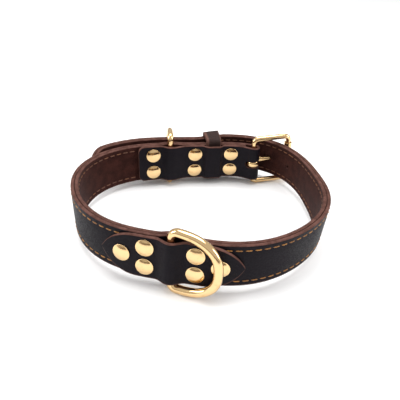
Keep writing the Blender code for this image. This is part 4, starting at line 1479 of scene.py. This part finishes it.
@dataclass
class Rivets:
    """Double-capped rivets of the folded leaf and the front patch.

    Attributes:
        form: The strap.
        palette: The finishes.
        back_spacing: Distance between the rivets of a pair on the leaf.
        front_spacing: The same on the patch.
        end_rivet: Distance of the patch's single rivets from its middle.
        seat_in: How far the inner caps sink into the leather.
        seat_out: How far the outer caps sink in.
        dome: Height of a cap's dome.
        roll: Width of its rolled rim.
        post: Radius of the post.
        stub: Length of post drawn under each cap.
        sides: Steps round a cap.
    """

    form: StrapForm
    palette: Palette
    back_spacing: float = 12.2 * MM
    front_spacing: float = 11.2 * MM
    end_rivet: float = 25.0 * MM
    seat_in: float = 0.5 * MM
    seat_out: float = 0.4 * MM
    dome: float = 1.15 * MM
    roll: float = 0.12 * MM
    post: float = 1.5 * MM
    stub: float = 2.4 * MM
    sides: int = 48

    def cap(self) -> bpy.types.Object:
        """Turn one shallow-domed cap with a rolled rim and a stub of its post."""
        radius = self.form.cap_radius
        tall = self.form.cap_height
        face = radius - self.roll
        rows = [(0.0, 0.0, tall)]
        for k in range(1, 11):
            share = k / 11
            rows.append((share * face, 0.0, tall - self.dome * share**2))
        middle = tall - self.dome - 0.5 * self.roll
        for k in range(6):
            turn = 0.5 * math.pi * (1 - k / 5)
            height = middle + 0.5 * self.roll * math.sin(turn)
            rows.append((face + self.roll * math.cos(turn), 0.0, height))
        rows += [(radius, 0.0, 0.05 * MM), (0.96 * radius, 0.0, 0.0), (self.post, 0.0, 0.0)]
        rows += [(self.post, 0.0, -self.stub), (0.0, 0.0, -self.stub)]
        build = bmesh.new()
        points = [build.verts.new(row) for row in rows]
        lines = [build.edges.new(pair) for pair in zip(points, points[1:])]
        bmesh.ops.spin(
            build, geom=points + lines, axis=(0, 0, 1), cent=(0, 0, 0), steps=self.sides,
            angle=2 * math.pi, use_merge=True,
        )
        bmesh.ops.remove_doubles(build, verts=build.verts, dist=0.001 * MM)
        bmesh.ops.recalc_face_normals(build, faces=build.faces)
        mesh = bpy.data.meshes.new("cap")
        build.to_mesh(mesh)
        build.free()
        item = link("cap", mesh)
        item.hide_render = True
        return item

    def places(self) -> list[tuple[float, float, float, float]]:
        """Return distance, height and the two seats of each rivet."""
        form = self.form
        rows = []
        for at in (form.pair_1, form.pair_2, form.pair_3):
            inner = float(form.leaf_flesh(at)) - form.ply - self.seat_in
            for side in (0.5, -0.5):
                height = form.mid + side * self.back_spacing
                rows.append((at, height, inner, form.grain + self.seat_out))
        ends = [(-self.end_rivet, 0.0), (self.end_rivet, 0.0)]
        pairs = [(share * form.patch_pair, side) for share in (-1.0, 1.0) for side in (0.5, -0.5)]
        for reach, side in ends + pairs:
            at = form.patch_at + reach
            inner = form.inner + float(form.strap_shift(at)) - self.seat_in
            outer = float(form.patch_flesh(at)) + form.ply + self.seat_out
            rows.append((at, form.mid + side * self.front_spacing, inner, outer))
        return rows

    def build(self) -> bpy.types.Object:
        """Set all caps in one piece."""
        form = self.form
        points, ways = [], []
        for at, height, inner, outer in self.places():
            out = form.turn_back(form.bare_axes(at)[2])
            seat = form.point(at, inner, height)
            far = form.point(at, outer, height)
            points += [seat, seat + out * float((far - seat) @ out)]
            ways += [-out, out]
        lines = [np.array([place]) for place in points]
        item = line_object("rivet_caps", lines, [np.array([way]) for way in ways], False)
        cap = self.cap()
        values = {"Cap": cap, "Size": 1.0, "Seed": 3, "Brass": self.palette.brass}
        run_tree(item, cap_tree(), values)
        bpy.data.objects.remove(cap)
        item.data.set_sharp_from_angle(angle=SHARP_CAP)
        nodes = [f"rivet_{side}_{k}" for side in ("front", "back") for k in range(1, 7)]
        return declare(item, STRAP_BODY, nodes)


@dataclass
class WireRing:
    """Ring of round wire with a straight bar and a full bow.

    Attributes:
        palette: The finishes.
        name: Name of the piece.
        node: Solid that it stands for.
        body: Body that it rides on.
        wire: Thickness of the wire.
        inner: Length of the bar inside the ring.
        reach: Distance from the bar's middle line to the bow's.
        fillet: Radius inside the corners.
        fullness: Power of the bow's curve, 2 for an ellipse.
        sides: Steps round the wire.
    """

    palette: Palette
    name: str
    node: str
    body: str
    wire: float
    inner: float
    reach: float
    fillet: float
    fullness: float = 2.37
    sides: int = 24

    def outline(self) -> np.ndarray:
        """Middle line of the wire as reach and height, from the bar's lower end."""
        half = (self.inner + self.wire) / 2
        corner = self.fillet + self.wire / 2
        bar = [(0.0, share * (half - corner)) for share in np.linspace(-1.0, 1.0, 13)]
        turns = np.linspace(0.0, 0.5 * math.pi, 9)[1:-1]
        bend = [
            (corner * (1 - math.cos(turn)), half - corner + corner * math.sin(turn)) for turn in turns
        ]
        bow = []
        for turn in np.linspace(0.5 * math.pi, -0.5 * math.pi, 73):
            c, s = math.cos(turn), math.sin(turn)
            power = self.fullness
            scale = (abs(c) ** power + abs(s) ** power) ** (-1 / power)
            bow.append((corner + (self.reach - corner) * c * scale, half * s * scale))
        lower = [(x, -z) for x, z in reversed(bend)]
        return np.array(bar + bend + bow + lower)

    def build(self, origin: np.ndarray, reach: np.ndarray, up: np.ndarray) -> bpy.types.Object:
        """Sweep the wire.

        Args:
            origin: Middle of the bar.
            reach: Direction from the bar to the bow.
            up: Direction along the bar.

        Returns:
            The ring.
        """
        line = origin + self.outline()[:, :1] * reach + self.outline()[:, 1:] * up
        facing = np.tile(np.cross(reach, up), (len(line), 1))
        item = line_object(self.name, [line], [facing], True)
        values = {"Wire": self.wire, "Sides": self.sides, "Brass": self.palette.brass}
        run_tree(item, wire_tree(), values)
        turned_out(item.data)
        return declare(item, self.body, [self.node])


@dataclass
class Rings:
    """The lead ring at the front and the tag ring at the back."""

    form: StrapForm
    palette: Palette
    lead_reach: float = 26.0 * MM
    lead_rest: float = math.radians(13.5)
    tag_inner: float = 29.6 * MM
    tag_reach: float = 25.0 * MM
    tag_fillet: float = 0.8 * MM
    tag_swing: float = math.radians(4.4)

    def lead_ring(self) -> bpy.types.Object:
        """Make the ring whose bar turns under the patch."""
        form = self.form
        along, up, out = (form.turn_back(axis) for axis in form.bare_axes(form.patch_at))
        reach = along * math.cos(self.lead_rest) + out * math.sin(self.lead_rest)
        ring = WireRing(
            self.palette, "lead_ring", "d_ring", RING_BODY, form.lead_wire, form.lead_inner,
            self.lead_reach, form.lead_fillet,
        )
        return ring.build(form.ring_bar() + form.shift, reach, up)

    def tag_ring(self) -> bpy.types.Object:
        """Make the ring that stands round the strap and the tail."""
        form = self.form
        at = form.tag_ring_at
        offset = form.inner + float(form.strap_shift(at)) - form.fit - form.tag_wire / 2
        bar = form.bare_point(at, offset, form.mid)
        along, up, out = form.bare_axes(at)
        bar = bar + up * (form.back_rim + form.tag_wire + self.tag_inner / 2 - form.mid) / up[2]
        reach = out * math.cos(self.tag_swing) - along * math.sin(self.tag_swing)
        ring = WireRing(
            self.palette, "tag_holder", "tag_ring", STRAP_BODY, form.tag_wire, self.tag_inner,
            self.tag_reach, self.tag_fillet,
        )
        return ring.build(form.seat(bar), form.turn_back(reach), form.turn_back(up))


@dataclass
class Buckle:
    """Oblong wire frame with its tongue curled round the heel bar and its loose roller.

    Attributes:
        form: The strap.
        palette: The finishes.
        inner: Height inside the frame.
        reach: Distance between the middle lines of its bars.
        corner: Radius of the frame's middle line at its corners.
        heading: Turn of the frame out of the strap's line.
        tongue: Thickness of the tongue's shaft.
        root_width: Width of its flat root.
        root_thickness: Thickness of the root.
        overhang: How far the shaft passes the front bar.
        curl: Turn of the root round the heel bar, in degrees.
        roller_bore: Radius inside the roller.
        roller_wall: Thickness of its wall.
        roller_length: Its length.
        search: How far before the buckle the tongue's crossing is looked for.
        search_steps: Steps of that search.
    """

    form: StrapForm
    palette: Palette
    inner: float = 30.0 * MM
    reach: float = 24.4 * MM
    corner: float = 3.2 * MM
    heading: float = math.radians(33.5)
    tongue: float = 2.9 * MM
    root_width: float = 4.2 * MM
    root_thickness: float = 2.2 * MM
    overhang: float = 2.6 * MM
    roller_bore: float = 2.1 * MM
    roller_wall: float = 0.5 * MM
    roller_length: float = 24.0 * MM
    curl: float = 300.0
    search: float = 40.0 * MM
    search_steps: int = 400

    def axes(self) -> tuple[np.ndarray, np.ndarray, np.ndarray, np.ndarray]:
        """Return the heel bar's middle and the frame's directions along, out and up."""
        form = self.form
        heel = form.bare_point(0.0, form.heel_offset, form.mid)
        tangent, up, wall_out = form.bare_axes(0.0)
        along = wall_out * math.sin(self.heading) - tangent * math.cos(self.heading)
        out = wall_out * math.cos(self.heading) + tangent * math.sin(self.heading)
        return form.seat(heel), form.turn_back(along), form.turn_back(out), form.turn_back(up)

    def shaft(self) -> tuple[np.ndarray, np.ndarray]:
        """Return the start and end of the tongue's straight part."""
        heel, along, out, _ = self.axes()
        lift = self.form.frame_wire / 2 + self.form.fit + self.root_thickness / 2
        rest = self.roller_bore + self.roller_wall + self.form.fit + self.tongue / 2
        return heel + out * lift, heel + along * (self.reach + self.overhang) + out * rest

    def crossing(self) -> float:
        """Return the distance along the strap at which the tongue passes through it."""
        form = self.form
        start, end = self.shaft()
        line = (end - start)[:2] / np.linalg.norm((end - start)[:2])
        count = self.search_steps
        at = form.turn - self.search + np.arange(count) * self.search / count
        away = form.point(at, np.zeros(count), np.full(count, form.mid))[:, :2] - start[:2]
        return float(at[np.argmin(np.abs(away[:, 0] * line[1] - away[:, 1] * line[0]))])

    def middle(self) -> np.ndarray:
        """Return the middle of the frame's heel bar."""
        heel, _, _, up = self.axes()
        raised = self.form.back_rim + self.form.frame_wire + self.inner / 2 - self.form.mid
        return heel + up * raised / self.form.bare_axes(0.0)[1][2]

    def roller(self) -> bpy.types.Object:
        """Make the loose tube on the front bar, open at both ends."""
        _, along, out, up = self.axes()
        centre = self.middle() + along * self.reach
        half, bore = self.roller_length / 2, self.roller_bore
        outer = bore + self.roller_wall
        ease_in = 0.35 * self.roller_wall
        profile = [(-half + ease_in, outer), (-half, outer - ease_in)]
        profile += [(-half, bore + ease_in), (-half + ease_in, bore)]
        profile += [(-height, radius) for height, radius in reversed(profile)]
        sides = 40
        grid = np.empty((sides, len(profile), 3))
        for k in range(sides):
            turn = 2 * math.pi * k / sides
            ray = along * math.cos(turn) + out * math.sin(turn)
            grid[k] = [centre + up * height + ray * radius for height, radius in profile]
        mesh = turned_out(skin("buckle_tube", grid, [Zone.GRAIN] * len(profile), True))
        mesh.materials.append(self.palette.brass)
        mesh.set_sharp_from_angle(angle=SHARP_TUBE)
        return declare(link("buckle_tube", mesh), ROLLER_BODY, ["buckle_roller"])

    def frame_ring(self) -> bpy.types.Object:
        """Make the frame."""
        form = self.form
        _, along, out, up = self.axes()
        centre = self.middle()
        corner = self.corner
        near, far = corner, self.reach - corner
        high = (self.inner + form.frame_wire) / 2 - corner
        corners = ((near, -high, -180.0), (far, -high, -90.0), (far, high, 0.0), (near, high, 90.0))
        places = []
        for reach, height, start in corners:
            for turn in np.radians(start + np.linspace(0.0, 90.0, 10)):
                places.append((reach + corner * math.cos(turn), height + corner * math.sin(turn)))
        outline = np.array(places)
        line = centre + outline[:, :1] * along + outline[:, 1:] * up
        item = line_object("buckle_loop", [line], [np.tile(out, (len(line), 1))], True)
        values = {"Wire": form.frame_wire, "Sides": 22, "Brass": self.palette.brass}
        run_tree(item, wire_tree(), values)
        turned_out(item.data)
        return declare(item, STRAP_BODY, ["buckle_frame"])

    def tongue_pin(self) -> bpy.types.Object:
        """Make the tongue: a flat root curled round the bar and a round tapering shaft."""
        heel, along, out, up = self.axes()
        start, end = self.shaft()
        radius = float(np.linalg.norm(start - heel))
        root = (self.root_thickness / 2, self.root_width / 2)
        stations: list[tuple[np.ndarray, np.ndarray, tuple[float, float]]] = []
        for turn in np.radians(np.linspace(self.curl, 0.0, 31)):
            ray = out * math.cos(turn) - along * math.sin(turn)
            stations.append((heel + ray * radius, ray, root))
        run = end - start
        side = np.cross(up, run / np.linalg.norm(run))
        side = side if side @ out > 0 else -side
        thin = self.tongue / 2
        shape = [(0.1, root[0], root[1]), (0.18, root[0], root[1] * 0.93), (0.27, thin, thin * 1.12)]
        taper = ((0.4, 1.0, 1.0), (0.7, 0.97, 0.97), (0.9, 0.92, 0.9), (0.965, 0.84, 0.8))
        taper += ((0.99, 0.62, 0.6), (1.0, 0.3, 0.3))
        shape += [(share, thin * across, thin * tall) for share, across, tall in taper]
        for share, across, tall in shape:
            stations.append((start + run * share, side, (across, tall)))
        sides = 20
        grid = np.empty((len(stations), sides, 3))
        for r, (middle, ray, (across, tall)) in enumerate(stations):
            for k in range(sides):
                turn = 2 * math.pi * k / sides
                grid[r, k] = middle + ray * across * math.cos(turn) + up * tall * math.sin(turn)
        mesh = turned_out(skin("buckle_pin", grid, [Zone.GRAIN] * sides, False))
        mesh.materials.append(self.palette.brass)
        mesh.polygons.foreach_set("material_index", np.zeros(len(mesh.polygons), np.int32))
        mesh.set_sharp_from_angle(angle=SHARP_LEATHER)
        return declare(link("buckle_pin", mesh), STRAP_BODY, ["buckle_tongue"])


# Studio


@dataclass(frozen=True)
class Softbox:
    """One soft light.

    Attributes:
        name: Object name.
        place: Where it hangs.
        size: Width and height.
        power: Watts.
    """

    name: str
    place: tuple[float, float, float]
    size: tuple[float, float]
    power: float


@dataclass
class Studio:
    """Pale floor, soft lights and the camera.

    Attributes:
        camera_place: Where the camera stands.
        pitch: How far it looks down, before the collar's tilt is added.
        roll: Its roll.
        lens: Focal length in millimetres.
        sensor: Width of the sensor in millimetres.
        near: Distance at which the camera starts to see.
        aim: Point that the softboxes face.
        floor_half: Half the floor's width.
        floor_tones: Darkest and lightest grey of the floor.
        sky_strength: Brightness of the room.
        sky_dim: Colour of its dim part, as a share of that.
        softboxes: The lights.
    """

    camera_place: tuple[float, float, float] = (0.000339, -0.258919, 0.176343)
    pitch: float = 0.5375
    roll: float = 0.04936
    lens: float = 45.0
    sensor: float = 36.0
    near: float = 10.0 * MM
    aim: tuple[float, float, float] = (0.0, 0.0, 0.01)
    floor_half: float = 4.0
    floor_tones: tuple[float, float] = (0.90, 0.92)
    sky_strength: float = 0.72
    sky_dim: Colour = (0.33, 0.28, 0.23, 1.0)
    softboxes: tuple[Softbox, ...] = (
        Softbox("overhead", (0.0, 0.10, 1.0), (0.8, 0.6), 9.0),
        Softbox("left_strip", (-0.75, -0.10, 0.40), (0.25, 0.5), 3.0),
        Softbox("right_strip", (0.80, -0.10, 0.40), (0.25, 0.5), 3.0),
    )

    def build(self, tilt: float) -> None:
        """Set up floor, lights and camera.

        Args:
            tilt: Lean at which the collar rests, which the camera shares.
        """
        build = bmesh.new()
        bmesh.ops.create_grid(build, x_segments=1, y_segments=1, size=self.floor_half)
        mesh = bpy.data.meshes.new("floor")
        build.to_mesh(mesh)
        build.free()
        mesh.materials.append(self.floor_finish())
        link("floor", mesh)
        for box in self.softboxes:
            light = bpy.data.lights.new(box.name, "AREA")
            light.shape = "RECTANGLE"
            light.size, light.size_y = box.size
            light.energy = box.power
            lamp = link(box.name, light)
            lamp.location = box.place
            aim = Vector(self.aim) - Vector(box.place)
            lamp.rotation_euler = aim.to_track_quat("-Z", "Y").to_euler()
        self.sky()
        camera = bpy.data.cameras.new("camera")
        camera.lens = self.lens
        camera.sensor_width = self.sensor
        camera.clip_start = self.near
        viewer = link("camera", camera)
        look = Matrix.Rotation(math.pi / 2 - self.pitch - tilt, 4, "X")
        look = look @ Matrix.Rotation(self.roll, 4, "Z")
        viewer.matrix_world = Matrix.Translation(self.camera_place) @ look
        bpy.context.scene.camera = viewer
        bpy.context.scene.view_settings.view_transform = "Standard"

    def floor_finish(self) -> bpy.types.Material:
        """Return the floor's matt white, very slightly uneven."""
        material, tree, shader = new_material("studio_floor")
        place = tree.add("ShaderNodeTexCoord").outputs["Object"]
        cloud = tree.noise(place, 3.0)
        dark, light = ((grey, grey, grey, 1.0) for grey in self.floor_tones)
        tone = tree.mix(cloud.outputs[0], dark, light)
        tree.join(tone, shader.inputs["Base Color"])
        shader.inputs["Roughness"].default_value = 0.9
        shader.inputs["Specular IOR Level"].default_value = 0.1
        return material

    def sky(self) -> None:
        """Light the room: bright all round, dim only low behind the camera and low at the back."""
        world = bpy.data.worlds.new("studio")
        world.use_nodes = True
        bpy.context.scene.world = world
        tree = Tree(world.node_tree)
        way = tree.add("ShaderNodeTexCoord").outputs["Generated"]
        parts = tree.add("ShaderNodeSeparateXYZ", {0: way})
        low = tree.remap(parts.outputs[2], 0.06, 0.26, 1.0, 0.0)
        front = tree.remap(parts.outputs[1], -0.80, -0.35, 1.0, 0.0)
        behind = tree.remap(parts.outputs[1], 0.30, 0.80, 0.0, 0.65)
        share = tree.math("MULTIPLY", low, tree.math("ADD", front, behind), clamp=True)
        tone = tree.mix(share, (1.0, 1.0, 1.0, 1.0), self.sky_dim)
        shade = world.node_tree.nodes["Background"]
        tree.join(tone, shade.inputs["Color"])
        shade.inputs["Strength"].default_value = self.sky_strength


def main() -> None:
    """Dress the collar, piece by piece, and set up the studio."""
    logging.basicConfig(level=logging.INFO, format="%(name)s %(message)s")
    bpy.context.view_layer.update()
    form = StrapForm()
    palette = Palette()
    leather = Leather(form, palette)
    leather.outer_ply()
    leather.inner_ply()
    leather.front_patch()
    leather.keeper()
    Seams(form, palette).build()
    Rivets(form, palette).build()
    rings = Rings(form, palette)
    rings.lead_ring()
    rings.tag_ring()
    buckle = Buckle(form, palette)
    buckle.frame_ring()
    buckle.roller()
    buckle.tongue_pin()
    Studio().build(form.tilt)


if __name__ == "__main__":
    main()
